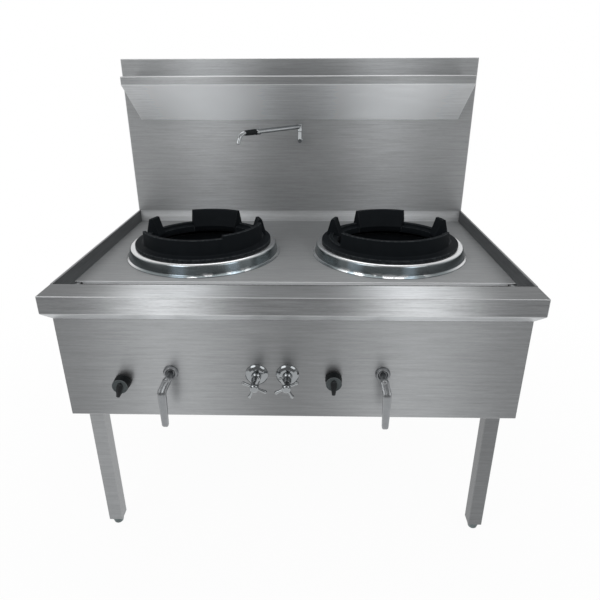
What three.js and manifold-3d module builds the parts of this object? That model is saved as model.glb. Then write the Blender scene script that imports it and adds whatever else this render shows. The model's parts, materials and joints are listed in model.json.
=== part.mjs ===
// Two-burner wok range: a sheet-steel body on four legs, with a splashback,
// a shelf, a swing faucet, knee levers for the main gas and knobs for the pilots.
//
// Millimetres, +X to the operator's right, +Y to the back, +Z up.
// Everything is drawn with y = 0 at the front edge of the worktop and z = 0 on
// the floor; the group at the end moves the range so that the centre of its
// base is the origin.
import * as THREE from 'three';
import { mergeVertices } from 'three/addons/utils/BufferGeometryUtils.js';
import Module from 'manifold-3d';

const wasm = await Module();
wasm.setup();

// ---------------------------------------------------------------- driving sizes

const FIT = 0.3; // gap between pieces that touch
const SHEET = 2; // folded sheet steel

// Facets of a full turn
const ROUND = 32; // collars, wok rings and the holes for them
const MEDIUM = 20; // knobs, escutcheons, pots
const SMALL = 12; // pipes, stems and small bores
const WEDGE_STEP = 30; // degrees between the points of a wedge's arc, at most

// Body
const WIDTH = 1200;
const BODY_DEPTH = 850; // front edge of the worktop to the back of the splashback
const RIM_HEIGHT = 800; // top of the worktop rim above the floor
const RIM_FLAT = 80; // flat front rim, front to back
const RIM_LAP = 12; // the front rim's rear flange reaches this far below the deck
const FASCIA = 46; // upright front and side edges of the worktop
const RETURN_DEPTH = 21; // 45 degree fold under the fascia
const HEM = 6; // width of the side rims at the top
const DECK_DROP = 40; // deck below the rim
const DECK_SHEET = 3;
const DECK_FRONT = 200; // front edge of the deck behind the front edge
const DECK_LIP = 8; // folded front edge of the deck
const PANEL_DROP = 346; // lower edge of the casing below the rim
const PANEL_HEM = 14;

// Gutter
const GUTTER_LAP = 20; // the gutter reaches this far under the deck
const GUTTER_DEPTH = 110; // below the rim
const DRAIN_X = 430;
const DRAIN_RADIUS = 24;
const DRAIN_WALL = 3;
const DRAIN_LENGTH = 70;

// Splashback and shelf
const SPLASH_HEIGHT = 517; // above the rim
const SPLASH_DEPTH = 28;
const SHELF_INSET = 48; // each end of the shelf from the end of the splashback
const SHELF_DEPTH = 170;
const SHELF_DROP = 52; // shelf below the top of the splashback
const SHELF_FASCIA = 25;
const SHELF_HEIGHT = 143; // shelf's top to the foot of its slanted underside

// Legs and frame
const LEG = 40; // square tube
const LEG_WALL = 2;
const LEG_SETBACK = 80; // front face of the front legs behind the front edge
const LEG_REAR_GAP = 40; // back face of the rear legs in front of the body's back
const FOOT_HEIGHT = 25; // leg's lower end above the floor
const FOOT_RADIUS = 17;
const FOOT_TIP_RADIUS = 10;
const FOOT_BEVEL = 3;
const FOOT_BAND = 6; // upright stretch at the top of the foot
const FOOT_TRAVEL = 25; // how far a foot screws out
const FOOT_GRIP = 35; // what stays in the leg then

// Burners
const COLLAR_THROAT = 190; // inside radius of the collar
const COLLAR_HEIGHT = 35;
const COLLAR_SHEET = 3;
const COLLAR_MARGIN = 15; // collar's top edge outside the wok ring's flange
const COLLAR_FLARE = 13; // base wider than the top, in radius
const COLLAR_LIP = 8; // flat lip round the base
const COLLAR_LIP_RISE = 4;
const COLLAR_ROUND = 9; // radius of the top edge
const COLLAR_SKIRT = 22; // inner wall of the collar, below its top
const BURNER_MARGIN = 23; // collar behind the front edge of the deck
const BURNER_INWARD = 10; // burner from the middle of its half of the deck
const POT_WALL = 6;
const POT_GAP = 5; // pot's inside beyond the collar's inner wall
const POT_HOLE_GAP = 2; // pot's outside to the edge of the hole in the deck
const POT_FLANGE = 12; // how far the pot's flange laps the deck
const POT_FLANGE_THICK = 3;
const POT_PORT = 60; // radius of the hole in the pot's floor
const POT_OVER_TUBE = 12; // pot's underside above the mixing tube
const PILOT_OFFSET = 100; // pilot light from the burner's centre
const PILOT_PORT_GAP = 4; // round the pilot tube in the pot's floor
const BURNER_LAP = 14; // burner's base on the pot's floor, round the port
const BURNER_BASE = 8;
const BURNER_HEAD_RADIUS = 58;
const BURNER_HEAD = 42; // height with the base
const JETS = 8;
const JET_CIRCLE = 36; // radius that the jets stand on
const JET_LEAN = 8; // towards the middle, at the tip
const JET_HEIGHT = 22;
const JET_RADIUS = 8;
const JET_TAPER = 2;
const MIDDLE_JET = 3; // the middle jet is thicker and higher by this

// Wok rings
const RING_LAP = 17; // flange on the collar's top, past the throat
const RING_CLEARANCE = 1.2; // locating lip in the throat
const RING_FLANGE = 8;
const RING_SETBACK = 23; // upright wall inside the flange's edge
const RING_WALL = 11;
const RING_LEDGE = 13; // flat inside the wall, to the mouth
const RING_DISH = 3; // how far the ledge falls to the mouth
const RING_BEAD = 4; // slanted foot of the wall
const RING_SPIGOT = 14; // locating lip below the flange
const RING_LOW_WALL = 8; // above the flange
const RING_GUARD = 48; // front guard above the flange
const RING_STEP = 8; // extra height of the guard's raised stretch
const RING_LUG = 48; // lugs above the flange
const RING_LUG_FOOT = 30; // thickness of a lug at its foot
const RING_LUG_SHOULDER = 26; // height of the lug's slanted inner face
const RING_LUG_SHOULDER_IN = 18;
const RING_LUG_TIP = 10;
const RING_LUG_SPREAD = 14; // how far a lug's slanted outside runs out past the wall
const REAR_LUG_ARC = 53; // degrees
const SIDE_LUG_ARC = 14;
// Angles round each ring in degrees from +X: the middle of the rear lug, the
// side lugs, the guard's two ends and its raised stretch.
const RINGS = {
  left: { rear: 86, sides: [20, 160], guard: [209, 354], raised: [298, 354] },
  right: { rear: 94, sides: [20, 160], guard: [213, 331], raised: null },
};

// Controls on the front panel: sideways from the middle of their burner, and
// heights below the rim
const KNOB_SHIFT = { left: -143, right: -181 };
const KNOB_DROP = { left: 242, right: 229 };
const KNOB_TURN = { left: 16, right: 0 }; // pointer clockwise from straight down, from the front
const LEVER_SHIFT = { left: -18, right: -58 };
const LEVER_JOG = { left: -10, right: 5 }; // paddle sideways from the stem
const LEVER_DROP = 215;
const TAP_MIDDLE = -49; // midway between the taps
const TAP_BETWEEN = 12; // between the two cross handles
const TAP_DROP = 220;
const TAP_TURN = { left: 25, right: -29 }; // handle clockwise, from the front

const SPINDLE_RADIUS = 4;
const KNOB_SKIRT_RADIUS = 21;
const KNOB_SKIRT = 5;
const KNOB_BODY_RADIUS = 20;
const KNOB_LENGTH = 24;
const KNOB_FILLET = 1; // where the body meets the skirt
const KNOB_BEVEL = 2; // round the face
const KNOB_POINTER = 31; // tip from the axis
const POINTER_WIDTH = 14;
const POINTER_TIP = 8;
const POINTER_TAIL = 10; // above the axis
const POINTER_STRAIGHT = 6; // full width down to here, below the axis
const POINTER_RISE = 6; // in front of the knob's face
const KNOB_PRESS = 4;
const KNOB_REST_GAP = 1; // skirt to the panel when pressed, and front wall of the bore
const SPINDLE_ROOM = 1; // spindle's end to the bore's end when pressed
const SPINDLE_DEPTH = 3.25; // past the middle of the pilot valve
const SPINDLE_HOLE_GAP = 2; // round stems in the panel

const LEVER_STEM = 7.5; // radius
const LEVER_ELBOW = 2; // elbow's radius over the stem's
const LEVER_REACH = 38; // elbow in front of the panel
const LEVER_STEP = 25; // further forward along the slanted bar
const LEVER_FALL = 20; // drop of the slanted bar
const LEVER_BEND = 3; // how far the bar's two bends are eased inside
const LEVER_KNEE = 2; // and outside
const LEVER_PADDLE = 100;
const LEVER_WIDTH = 21;
const LEVER_THICK = 10;
const LEVER_TAPER = 5; // paddle is narrower by this at its end
const LEVER_TAPER_START = 20; // below the bend
const LEVER_ROUND = 3; // bevel at the paddle's end
const LEVER_FLANGE_RADIUS = 19;
const LEVER_FLANGE = 9;
const LEVER_FLANGE_EDGE = 4; // upright edge before the bevel
const LEVER_FLANGE_BEVEL = 5;
const LEVER_FLANGE_DISH = 5; // wall between the bevel and the hollow

const TAP_RADIUS = 12; // bonnet, and the body behind the panel
const TAP_BONNET = 42; // in front of the panel
const TAP_BONNET_TAPER = 12;
const TAP_STEM = 5;
const TAP_GLAND = 3; // step between the bonnet's end and the stem
const TAP_CROSS = 60; // cross handle's centre in front of the panel
const TAP_SPOKE = 33;
const TAP_SPOKE_RADIUS = 3.6;
const TAP_TIP_RADIUS = 4.8;
const TAP_HUB_RADIUS = 11;
const TAP_HUB_LENGTH = 20;
const TAP_HUB_BEVEL = 4;
const ESCUTCHEON_RADIUS = 29;
const ESCUTCHEON_DEPTH = 9;
const ESCUTCHEON_EDGE = 2;
const ESCUTCHEON_SHOULDER = 9; // width of the domed edge
const ESCUTCHEON_RIM = 2; // flat round the bonnet

// Gas and water behind the panel
const MANIFOLD_Y = 60;
const MANIFOLD_RADIUS = 13;
const MANIFOLD_GAP = 10; // below what stands over it
const MANIFOLD_OVERHANG = 40; // past the left knob
const GAS_INSET = 25; // rear inlet beside the legs
const GAS_PORT_GAP = 6; // round the manifold in the back panel
const LEVER_VALVE = 36; // square body
const PILOT_VALVE = 26;
const VALVE_NECK = 9; // radius
const BURNER_TUBE = 17; // radius of the burner's mixing tube
const TUBE_STRAIGHT = 72; // mixing tube behind the valve, before it bends
const TUBE_SWAY = 80; // length of its slanted stretch
const PILOT_TUBE = 4;
const PILOT_STRAIGHT = 127;
const PILOT_RISE = 40; // above the pot's floor
const PILOT_REACH = 22; // towards the burner
const PILOT_LIFT = 12;
const WATER_PIPE = 7;
const WATER_PORT_GAP = 7; // round the supply in the back panel
const TAP_BODY_DEPTH = 48; // tap body behind the panel
const SUPPLY_DROP = 30; // water supply below the taps
const FEED_REACH = 80; // faucet feed turns this far behind the gutter
const RINSE_RISE = 30; // rinse pipe above the gutter's floor
const INLET_GAP = 4; // ends of the supplies in front of the body's back

// Faucet
const FAUCET_X = 5;
const FAUCET_REACH = 52; // riser in front of the splashback
const FAUCET_DROP = 66; // centre of the horizontal inlet below the shelf's foot
const FAUCET_RISE = 32; // inlet to the swivel joint
const FAUCET_CAP = 26; // swivel joint to the top
const ARM_RISE = 16; // swivel joint to the arm's centre
const FAUCET_TUBE = 7.5;
const FAUCET_HEAD = 1; // head's radius over the tube's
const FAUCET_BEVEL = 2;
const FAUCET_COLLAR = 2; // width and depth of the collar on the splashback
const FAUCET_BORE = 5;
const FAUCET_PIVOT = 3.5;
const FAUCET_PIVOT_LENGTH = 14;
const FAUCET_HEADING = 229.5; // degrees from +X, seen from above
const ARM_LENGTH = 190;
const NUT_LENGTH = 18;
const NUT_RADIUS = 10;
const GRIP_LENGTH = 46;
const GRIP_RADIUS = 9;
const SPOUT_RADIUS = 6.5;
const SPOUT_MOUTH = 12; // depth of the hole in the outlet
const SPOUT_ROUTE = [[0, 0], [6, 0], [14, -4], [21, -11], [26, -20], [30, -30]]; // out, down

// ---------------------------------------------------------------- derived sizes

const DECK_TOP = RIM_HEIGHT - DECK_DROP;
const DECK_UNDER = DECK_TOP - DECK_SHEET;
const FOLD_TOP = RIM_HEIGHT - FASCIA;
const FOLD_BOTTOM = FOLD_TOP - RETURN_DEPTH;
const SPLASH_FACE = BODY_DEPTH - SPLASH_DEPTH;
const SPLASH_TOP = RIM_HEIGHT + SPLASH_HEIGHT;
const SHELF_TOP = SPLASH_TOP - SHELF_DROP;
const SHELF_FOOT = SHELF_TOP - SHELF_HEIGHT;
const HALF = WIDTH / 2;
const HALF_PANEL = HALF - RETURN_DEPTH;
const HALF_DECK = HALF - HEM;
const HALF_GUTTER = HALF_PANEL - SHEET * Math.SQRT2 - FIT;
const PANEL_BOTTOM = RIM_HEIGHT - PANEL_DROP;
const PANEL_TOP = FOLD_BOTTOM - FIT;
const PANEL_BACK = RETURN_DEPTH + SHEET;
const GUTTER_FRONT = RIM_FLAT + FIT;
const GUTTER_BACK = DECK_FRONT + GUTTER_LAP;
const GUTTER_FLOOR = RIM_HEIGHT - GUTTER_DEPTH;
const GUTTER_MIDDLE = (GUTTER_FRONT + GUTTER_BACK) / 2;
const LEG_TOP = GUTTER_FLOOR - FIT;
const LEG_X = HALF_PANEL - PANEL_HEM - FIT - LEG / 2;
const LEG_Y = {
  front: LEG_SETBACK + LEG / 2,
  rear: BODY_DEPTH - LEG_REAR_GAP - LEG / 2,
};
const LEVER_AXIS = RIM_HEIGHT - LEVER_DROP;
const KNOB_AXIS = { left: RIM_HEIGHT - KNOB_DROP.left, right: RIM_HEIGHT - KNOB_DROP.right };
const TAP_AXIS = RIM_HEIGHT - TAP_DROP;
const TAP_X = {
  left: TAP_MIDDLE - TAP_SPOKE - TAP_BETWEEN / 2,
  right: TAP_MIDDLE + TAP_SPOKE + TAP_BETWEEN / 2,
};
const KNOB_GAP = KNOB_PRESS + KNOB_REST_GAP; // skirt in front of the panel
const RING_FLANGE_RADIUS = COLLAR_THROAT + RING_LAP;
const RING_RADIUS = RING_FLANGE_RADIUS - RING_SETBACK;
const RING_INSIDE = RING_RADIUS - RING_WALL;
const RING_MOUTH = RING_INSIDE - RING_LEDGE;
const COLLAR_TOP_RADIUS = RING_FLANGE_RADIUS + COLLAR_MARGIN;
const COLLAR_BASE_RADIUS = COLLAR_TOP_RADIUS + COLLAR_FLARE;
const POT_INSIDE = COLLAR_THROAT + COLLAR_SHEET + POT_GAP;
const POT_OUTSIDE = POT_INSIDE + POT_WALL;
const HOLE_RADIUS = POT_OUTSIDE + POT_HOLE_GAP;
const BURNER_X = HALF_DECK / 2 - BURNER_INWARD;
const BURNER_Y = DECK_FRONT + BURNER_MARGIN + COLLAR_BASE_RADIUS;
const KNOB_X = { left: KNOB_SHIFT.left - BURNER_X, right: KNOB_SHIFT.right + BURNER_X };
const LEVER_X = { left: LEVER_SHIFT.left - BURNER_X, right: LEVER_SHIFT.right + BURNER_X };
const RING_SEAT = DECK_TOP + FIT + COLLAR_HEIGHT + FIT;
const POT_UNDER = LEVER_AXIS + BURNER_TUBE + POT_OVER_TUBE;
const POT_FLOOR = POT_UNDER + POT_WALL;
const SUPPLY_Z = TAP_AXIS - SUPPLY_DROP;
const LOWER_KNOB = Math.min(KNOB_AXIS.left, KNOB_AXIS.right);
const OVER_MANIFOLD = Math.min(SUPPLY_Z - WATER_PIPE, LOWER_KNOB - PILOT_VALVE / 2);
const MANIFOLD_Z = OVER_MANIFOLD - MANIFOLD_RADIUS - MANIFOLD_GAP;
const GAS_INLET_X = LEG_X - LEG / 2 - GAS_INSET;
const FAUCET_Y = SPLASH_FACE - FAUCET_REACH;
const FAUCET_FOOT = SHELF_FOOT - FAUCET_DROP;
const FAUCET_SEAM = FAUCET_FOOT + FAUCET_RISE;
const SPLASH_MIDDLE = SPLASH_FACE + SPLASH_DEPTH / 2;
const SIDES = ['left', 'right'];
const SIGN = { left: -1, right: 1 };

// ---------------------------------------------------------------- materials

const finish = (color, roughness, metalness) =>
  new THREE.MeshStandardMaterial({ color, roughness, metalness });
const STEEL = finish(0x9a9ea0, 0.38, 1);
const POLISHED = finish(0xc9cdd0, 0.12, 1);
const CHROME = finish(0xd2d6d9, 0.08, 1);
const DULL_CHROME = finish(0x7f8487, 0.3, 1);
const CAST_IRON = finish(0x14181b, 0.75, 0.3);
const BLACK = finish(0x16191b, 0.45, 0);
const BRASS = finish(0xb08d4a, 0.35, 1);
const COPPER = finish(0xa8643c, 0.35, 1);
const PIPE = finish(0x6f7375, 0.5, 1);
const FOOT = finish(0x596163, 0.45, 0.6);

// ---------------------------------------------------------------- helpers

// Turns a closed three.js geometry into a solid, facing outwards.
function solid(geometry) {
  const bare = geometry.index ? geometry.toNonIndexed() : geometry.clone();
  for (const name of Object.keys(bare.attributes)) {
    if (name !== 'position') bare.deleteAttribute(name);
  }
  const merged = mergeVertices(bare, 1e-4);
  const points = merged.attributes.position.array;
  const corners = [];
  let volume = 0;
  for (let i = 0; i < merged.index.count; i += 3) {
    const [a, b, c] = [0, 1, 2].map((k) => merged.index.getX(i + k));
    if (a === b || b === c || a === c) continue;
    corners.push(a, b, c);
    const [p, q, r] = [a, b, c].map((k) => new THREE.Vector3().fromArray(points, 3 * k));
    volume += p.dot(q.cross(r));
  }
  if (volume < 0) corners.reverse();
  const vertProperties = Float32Array.from(points);
  const triVerts = Uint32Array.from(corners);
  return new wasm.Manifold(new wasm.Mesh({ numProp: 3, vertProperties, triVerts }));
}

function geometryOf(body) {
  const mesh = body.getMesh();
  const geometry = new THREE.BufferGeometry();
  geometry.setAttribute('position', new THREE.BufferAttribute(mesh.vertProperties, 3));
  geometry.setIndex(new THREE.BufferAttribute(mesh.triVerts, 1));
  geometry.computeVertexNormals();
  return geometry;
}

// A block between two corners, given as pairs along x, y and z.
function block([x0, x1], [y0, y1], [z0, z1]) {
  const box = new THREE.BoxGeometry(x1 - x0, y1 - y0, z1 - z0);
  return solid(box.translate((x0 + x1) / 2, (y0 + y1) / 2, (z0 + z1) / 2));
}

function outline(points) {
  return new THREE.Shape(points.map(([u, v]) => new THREE.Vector2(u, v)));
}

// An outline in y and z, drawn out along x.
function alongX(points, [x0, x1]) {
  const geometry = new THREE.ExtrudeGeometry(outline(points), { depth: x1 - x0, bevelEnabled: false });
  const turn = new THREE.Matrix4().makeBasis(
    new THREE.Vector3(0, 1, 0), new THREE.Vector3(0, 0, 1), new THREE.Vector3(1, 0, 0));
  return solid(geometry.applyMatrix4(turn).translate(x0, 0, 0));
}

// An outline in x and z, drawn out along y.
function alongY(points, [y0, y1]) {
  const geometry = new THREE.ExtrudeGeometry(outline(points), { depth: y1 - y0, bevelEnabled: false });
  return solid(geometry.rotateX(Math.PI / 2).translate(0, y1, 0));
}

// A profile in radius and height, turned about the z axis.
function turned(profile, facets) {
  const points = profile.map(([r, z]) => new THREE.Vector2(r, z));
  return solid(new THREE.LatheGeometry(points, facets).rotateX(Math.PI / 2));
}

const closed = (profile) => [...profile, profile[0]];

// A lathe profile whose height runs forwards out of the panel.
const facing = (profile, facets) => turned(profile, facets).rotate([90, 0, 0]);

// A round bar between two points.
function bar(from, to, radius, facets = SMALL, endRadius = radius) {
  const a = new THREE.Vector3(...from);
  const b = new THREE.Vector3(...to);
  const along = b.clone().sub(a);
  const cylinder = new THREE.CylinderGeometry(endRadius, radius, along.length(), facets);
  const axis = new THREE.Vector3(0, 1, 0);
  cylinder.applyQuaternion(new THREE.Quaternion().setFromUnitVectors(axis, along.normalize()));
  return solid(cylinder.translate(...a.add(b).multiplyScalar(0.5)));
}

// A tool for a round hole whose flats, not only its corners, clear the radius.
const bore = (from, to, radius, facets = SMALL) =>
  bar(from, to, radius / Math.cos(Math.PI / facets), facets);

function ball(centre, radius, facets = SMALL) {
  return solid(new THREE.SphereGeometry(radius, facets, facets / 2).translate(...centre));
}

const join = (bodies) => bodies.reduce((whole, body) => whole.add(body));
const cut = (body, tools) => tools.reduce((rest, tool) => rest.subtract(tool), body);
const mirrored = (side, a, b) => (side === 'left' ? [-b, -a] : [a, b]);

// A pipe through a list of points, with ball elbows.
function pipe(points, radius, facets = SMALL) {
  const runs = points.slice(1).map((point, i) => bar(points[i], point, radius, facets));
  const elbows = points.slice(1, -1).map((point) => ball(point, radius, facets));
  return join([...runs, ...elbows]);
}

// A wedge of the space round the z axis, between two angles in degrees.
function wedge([from, to], radius, [z0, z1]) {
  const steps = Math.max(2, Math.ceil((to - from) / WEDGE_STEP));
  const rim = [];
  for (let i = 0; i <= steps; i += 1) {
    const angle = THREE.MathUtils.degToRad(from + ((to - from) * i) / steps);
    rim.push([radius * Math.cos(angle), radius * Math.sin(angle)]);
  }
  const shape = outline([[0, 0], ...rim]);
  const geometry = new THREE.ExtrudeGeometry(shape, { depth: z1 - z0, bevelEnabled: false });
  return solid(geometry.translate(0, 0, z0));
}

const range = new THREE.Group();

function add(name, body, material, parent = range) {
  const mesh = new THREE.Mesh(geometryOf(body), material);
  mesh.name = name;
  parent.add(mesh);
  return mesh;
}

// A piece drawn about its own axis and placed on the range; its turn is
// clockwise in degrees, seen from the front.
function place(name, body, material, [x, y, z], turn = 0) {
  const mesh = add(name, body, material);
  mesh.position.set(x, y, z);
  mesh.rotation.y = THREE.MathUtils.degToRad(turn);
}

// ---------------------------------------------------------------- worktop

// The worktop's outside, moved inwards by an inset: upright fascias with a
// 45 degree fold below, along the front and both sides.
function worktopBlock(inset) {
  const diagonal = inset * (Math.SQRT2 - 1);
  const bottom = FOLD_BOTTOM - (inset > 0 ? SHEET : 0);
  const reach = FOLD_TOP + diagonal - bottom;
  const top = RIM_HEIGHT - inset;
  const back = SPLASH_FACE - FIT;
  const fold = FOLD_TOP + diagonal;
  const front = alongX(
    [[inset, top], [inset, fold], [inset + reach, bottom], [back + inset, bottom], [back + inset, top]],
    [-HALF, HALF]);
  const edge = HALF - inset;
  const side = alongY(
    [[-edge, top], [-edge, fold], [reach - edge, bottom], [edge - reach, bottom], [edge, fold], [edge, top]],
    [-inset, back + inset]);
  return front.intersect(side);
}

function worktop() {
  const shell = worktopBlock(0).subtract(worktopBlock(SHEET));
  const opening = block([-HALF_DECK, HALF_DECK], [RIM_FLAT, BODY_DEPTH], [DECK_TOP, RIM_HEIGHT + 1]);
  const open = shell.subtract(opening);
  const height = [FOLD_BOTTOM - 1, RIM_HEIGHT + 1];

  const frontPart = open.intersect(block([-HALF, HALF], [0, RIM_FLAT], height));
  const lap = [DECK_UNDER - RIM_LAP, RIM_HEIGHT];
  const flange = block([SHEET - HALF, HALF - SHEET], [RIM_FLAT - SHEET, RIM_FLAT], lap);
  add('front_rim', frontPart.add(flange), STEEL);

  const ledgeTop = DECK_UNDER - FIT;
  const ledgeBottom = ledgeTop - SHEET;
  const depth = [GUTTER_FRONT, SPLASH_FACE - FIT];
  for (const side of SIDES) {
    const skin = open.intersect(block(mirrored(side, HALF_PANEL - SHEET * 2, HALF), depth, height));
    const inner = block(mirrored(side, HALF_DECK, HALF_DECK + SHEET), depth, [ledgeBottom, RIM_HEIGHT]);
    const ledge = block(mirrored(side, HALF_GUTTER + FIT, HALF_DECK + SHEET), depth, [ledgeBottom, ledgeTop]);
    add(`side_rim_${side}`, join([skin, inner, ledge]), STEEL);
  }
}

function deck() {
  const across = [FIT - HALF_DECK, HALF_DECK - FIT];
  const back = SPLASH_FACE - FIT;
  const plate = block(across, [DECK_FRONT, back], [DECK_UNDER, DECK_TOP]);
  const between = HALF_GUTTER - SHEET - FIT;
  const lip = block([-between, between], [DECK_FRONT, DECK_FRONT + SHEET], [DECK_TOP - DECK_LIP, DECK_TOP]);
  const upstand = block(across, [back - SHEET, back], [DECK_UNDER, RIM_HEIGHT]);
  const holes = SIDES.map((side) => {
    const x = SIGN[side] * BURNER_X;
    return bore([x, BURNER_Y, DECK_UNDER - 1], [x, BURNER_Y, DECK_TOP + 1], HOLE_RADIUS, ROUND);
  });
  add('deck_plate', cut(join([plate, lip, upstand]), holes), STEEL);
}

function gutter() {
  const edge = HALF_GUTTER;
  const top = DECK_UNDER - FIT;
  const outside = block([-edge, edge], [GUTTER_FRONT, GUTTER_BACK], [GUTTER_FLOOR, top]);
  const inside = block([SHEET - edge, edge - SHEET], [GUTTER_FRONT + SHEET, GUTTER_BACK - SHEET],
    [GUTTER_FLOOR + SHEET, top + 1]);
  const at = (x, z) => [x, GUTTER_MIDDLE, z];
  const low = GUTTER_FLOOR - DRAIN_LENGTH;
  const over = GUTTER_FLOOR + SHEET + 1;
  const tail = bar(at(DRAIN_X, low), at(DRAIN_X, GUTTER_FLOOR + SHEET / 2), DRAIN_RADIUS, MEDIUM);
  const drain = bar(at(DRAIN_X, low - 1), at(DRAIN_X, over), DRAIN_RADIUS - DRAIN_WALL, MEDIUM);
  const rinse = bore(at(TAP_X.right, GUTTER_FLOOR - 1), at(TAP_X.right, over), WATER_PIPE + FIT);
  add('front_gutter', cut(outside.subtract(inside).add(tail), [drain, rinse]), STEEL);
}

// ---------------------------------------------------------------- casing

function casing() {
  const height = [PANEL_BOTTOM, PANEL_TOP];
  const hemHeight = [PANEL_BOTTOM, PANEL_BOTTOM + SHEET];
  const face = block([-HALF_PANEL, HALF_PANEL], [RETURN_DEPTH, PANEL_BACK], height);
  const hemEdge = HALF_PANEL - SHEET - FIT;
  const hem = block([-hemEdge, hemEdge], [RETURN_DEPTH, RETURN_DEPTH + PANEL_HEM], hemHeight);
  const hole = (x, z, radius) => bore([x, RETURN_DEPTH - 1, z], [x, PANEL_BACK + 1, z], radius);
  const holes = SIDES.flatMap((side) => [
    hole(KNOB_X[side], KNOB_AXIS[side], SPINDLE_RADIUS + SPINDLE_HOLE_GAP),
    hole(LEVER_X[side], LEVER_AXIS, LEVER_STEM + SPINDLE_HOLE_GAP),
    hole(TAP_X[side], TAP_AXIS, TAP_RADIUS + FIT),
  ]);
  add('front_panel', cut(face.add(hem), holes), STEEL);

  const back = BODY_DEPTH - SHEET;
  for (const side of SIDES) {
    const depth = [PANEL_BACK + FIT, back - FIT];
    const foldDepth = [RETURN_DEPTH + PANEL_HEM + FIT, back - FIT];
    const skin = block(mirrored(side, HALF_PANEL - SHEET, HALF_PANEL), depth, height);
    const fold = block(mirrored(side, HALF_PANEL - PANEL_HEM, HALF_PANEL), foldDepth, hemHeight);
    add(`side_panel_${side}`, skin.add(fold), STEEL);
  }

  const port = (x, z, radius) => bore([x, back - 1, z], [x, BODY_DEPTH + 1, z], radius);
  const ports = [
    port(GAS_INLET_X, MANIFOLD_Z, MANIFOLD_RADIUS + GAS_PORT_GAP),
    port(TAP_MIDDLE, SUPPLY_Z, WATER_PIPE + WATER_PORT_GAP),
  ];
  add('back_panel', cut(block([-HALF_PANEL, HALF_PANEL], [back, BODY_DEPTH], height), ports), STEEL);
}

// ---------------------------------------------------------------- splashback

function splashback() {
  const outside = block([-HALF, HALF], [SPLASH_FACE, BODY_DEPTH], [FOLD_BOTTOM, SPLASH_TOP]);
  const inside = block([SHEET - HALF, HALF - SHEET], [SPLASH_FACE + SHEET, BODY_DEPTH + 1],
    [FOLD_BOTTOM + SHEET, SPLASH_TOP - SHEET]);
  const [x, y, z] = [FAUCET_X, SPLASH_MIDDLE, FAUCET_FOOT];
  const inlet = bore([x, SPLASH_FACE - 1, z], [x, SPLASH_FACE + SHEET + 1, z], FAUCET_TUBE + FIT);
  const feed = bore([x, y, FOLD_BOTTOM - 1], [x, y, FOLD_BOTTOM + SHEET + 1], WATER_PIPE + FIT);
  add('splashback_skin', cut(outside.subtract(inside), [inlet, feed]), STEEL);

  const edge = HALF - SHEET - FIT;
  add('splashback_cover', block([-edge, edge], [BODY_DEPTH - SHEET, BODY_DEPTH],
    [FOLD_BOTTOM + SHEET + FIT, SPLASH_TOP - SHEET - FIT]), STEEL);
}

// A triangular box under the flat top, open against the splashback.
function shelf() {
  const back = SPLASH_FACE - FIT;
  const front = SPLASH_FACE - SHELF_DEPTH;
  const edge = HALF - SHELF_INSET;
  const fascia = SHELF_TOP - SHELF_FASCIA;
  const slope = (fascia - SHELF_FOOT) / (back - front);
  const rise = SHEET * Math.hypot(1, slope);
  const outside = alongX(
    [[front, SHELF_TOP], [front, fascia], [back, SHELF_FOOT], [back, SHELF_TOP]],
    [-edge, edge]);
  const ceiling = SHELF_TOP - SHEET;
  const inside = alongX(
    [[front + SHEET, ceiling], [front + SHEET, fascia - slope * SHEET + rise],
      [back + 1, SHELF_FOOT - slope + rise], [back + 1, ceiling]],
    [SHEET - edge, edge - SHEET]);
  add('shelf', outside.subtract(inside), STEEL);
}

// ---------------------------------------------------------------- legs

function legs() {
  const half = LEG / 2;
  const hollow = half - LEG_WALL;
  const plug = hollow - FIT;
  const seat = FOOT_HEIGHT - FIT;
  for (const [end, y] of Object.entries(LEG_Y)) {
    for (const side of SIDES) {
      const at = [SIGN[side] * LEG_X, y, 0];
      const outside = block([-half, half], [-half, half], [FOOT_HEIGHT, LEG_TOP]);
      const inside = block([-hollow, hollow], [-hollow, hollow], [FOOT_HEIGHT - 1, LEG_TOP + 1]);
      place(`leg_${end}_${side}`, outside.subtract(inside), STEEL, at);

      const cone = turned([[0, 0], [FOOT_TIP_RADIUS, 0], [FOOT_TIP_RADIUS + FOOT_BEVEL, FOOT_BEVEL],
        [FOOT_RADIUS, FOOT_HEIGHT - FOOT_BAND], [FOOT_RADIUS, seat], [0, seat]], SMALL);
      const stem = block([-plug, plug], [-plug, plug], [seat - 1, FOOT_HEIGHT + FOOT_TRAVEL + FOOT_GRIP]);
      place(`foot_${end}_${side}`, cone.add(stem), FOOT, at);
    }
    const gap = LEG_X - half - FIT;
    const z = LEG_TOP - half;
    const outer = block([-gap, gap], [y - half, y + half], [z - half, z + half]);
    const inner = block([-gap - 1, gap + 1], [y - hollow, y + hollow], [z - hollow, z + hollow]);
    add(`frame_rail_${end}`, outer.subtract(inner), STEEL);
  }
}

// ---------------------------------------------------------------- burners

// A flared polished ring: base lip, leaning side, rounded top and an inner wall.
function collarProfile() {
  const h = COLLAR_HEIGHT;
  const t = COLLAR_SHEET;
  const foot = COLLAR_BASE_RADIUS - COLLAR_LIP;
  const crown = COLLAR_TOP_RADIUS - COLLAR_ROUND;
  const outer = [[COLLAR_BASE_RADIUS, 0], [foot, COLLAR_LIP_RISE]];
  for (const angle of [0, 45, 90]) {
    const turn = THREE.MathUtils.degToRad(angle);
    outer.push([crown + COLLAR_ROUND * Math.cos(turn), h - COLLAR_ROUND + COLLAR_ROUND * Math.sin(turn)]);
  }
  const throat = COLLAR_THROAT;
  const inner = [[throat, h], [throat, h - COLLAR_SKIRT], [throat + t, h - COLLAR_SKIRT], [throat + t, h - t],
    [crown, h - t], [COLLAR_TOP_RADIUS - t, h - COLLAR_ROUND], [foot - t, 0]];
  return closed([...outer, ...inner]);
}

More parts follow.
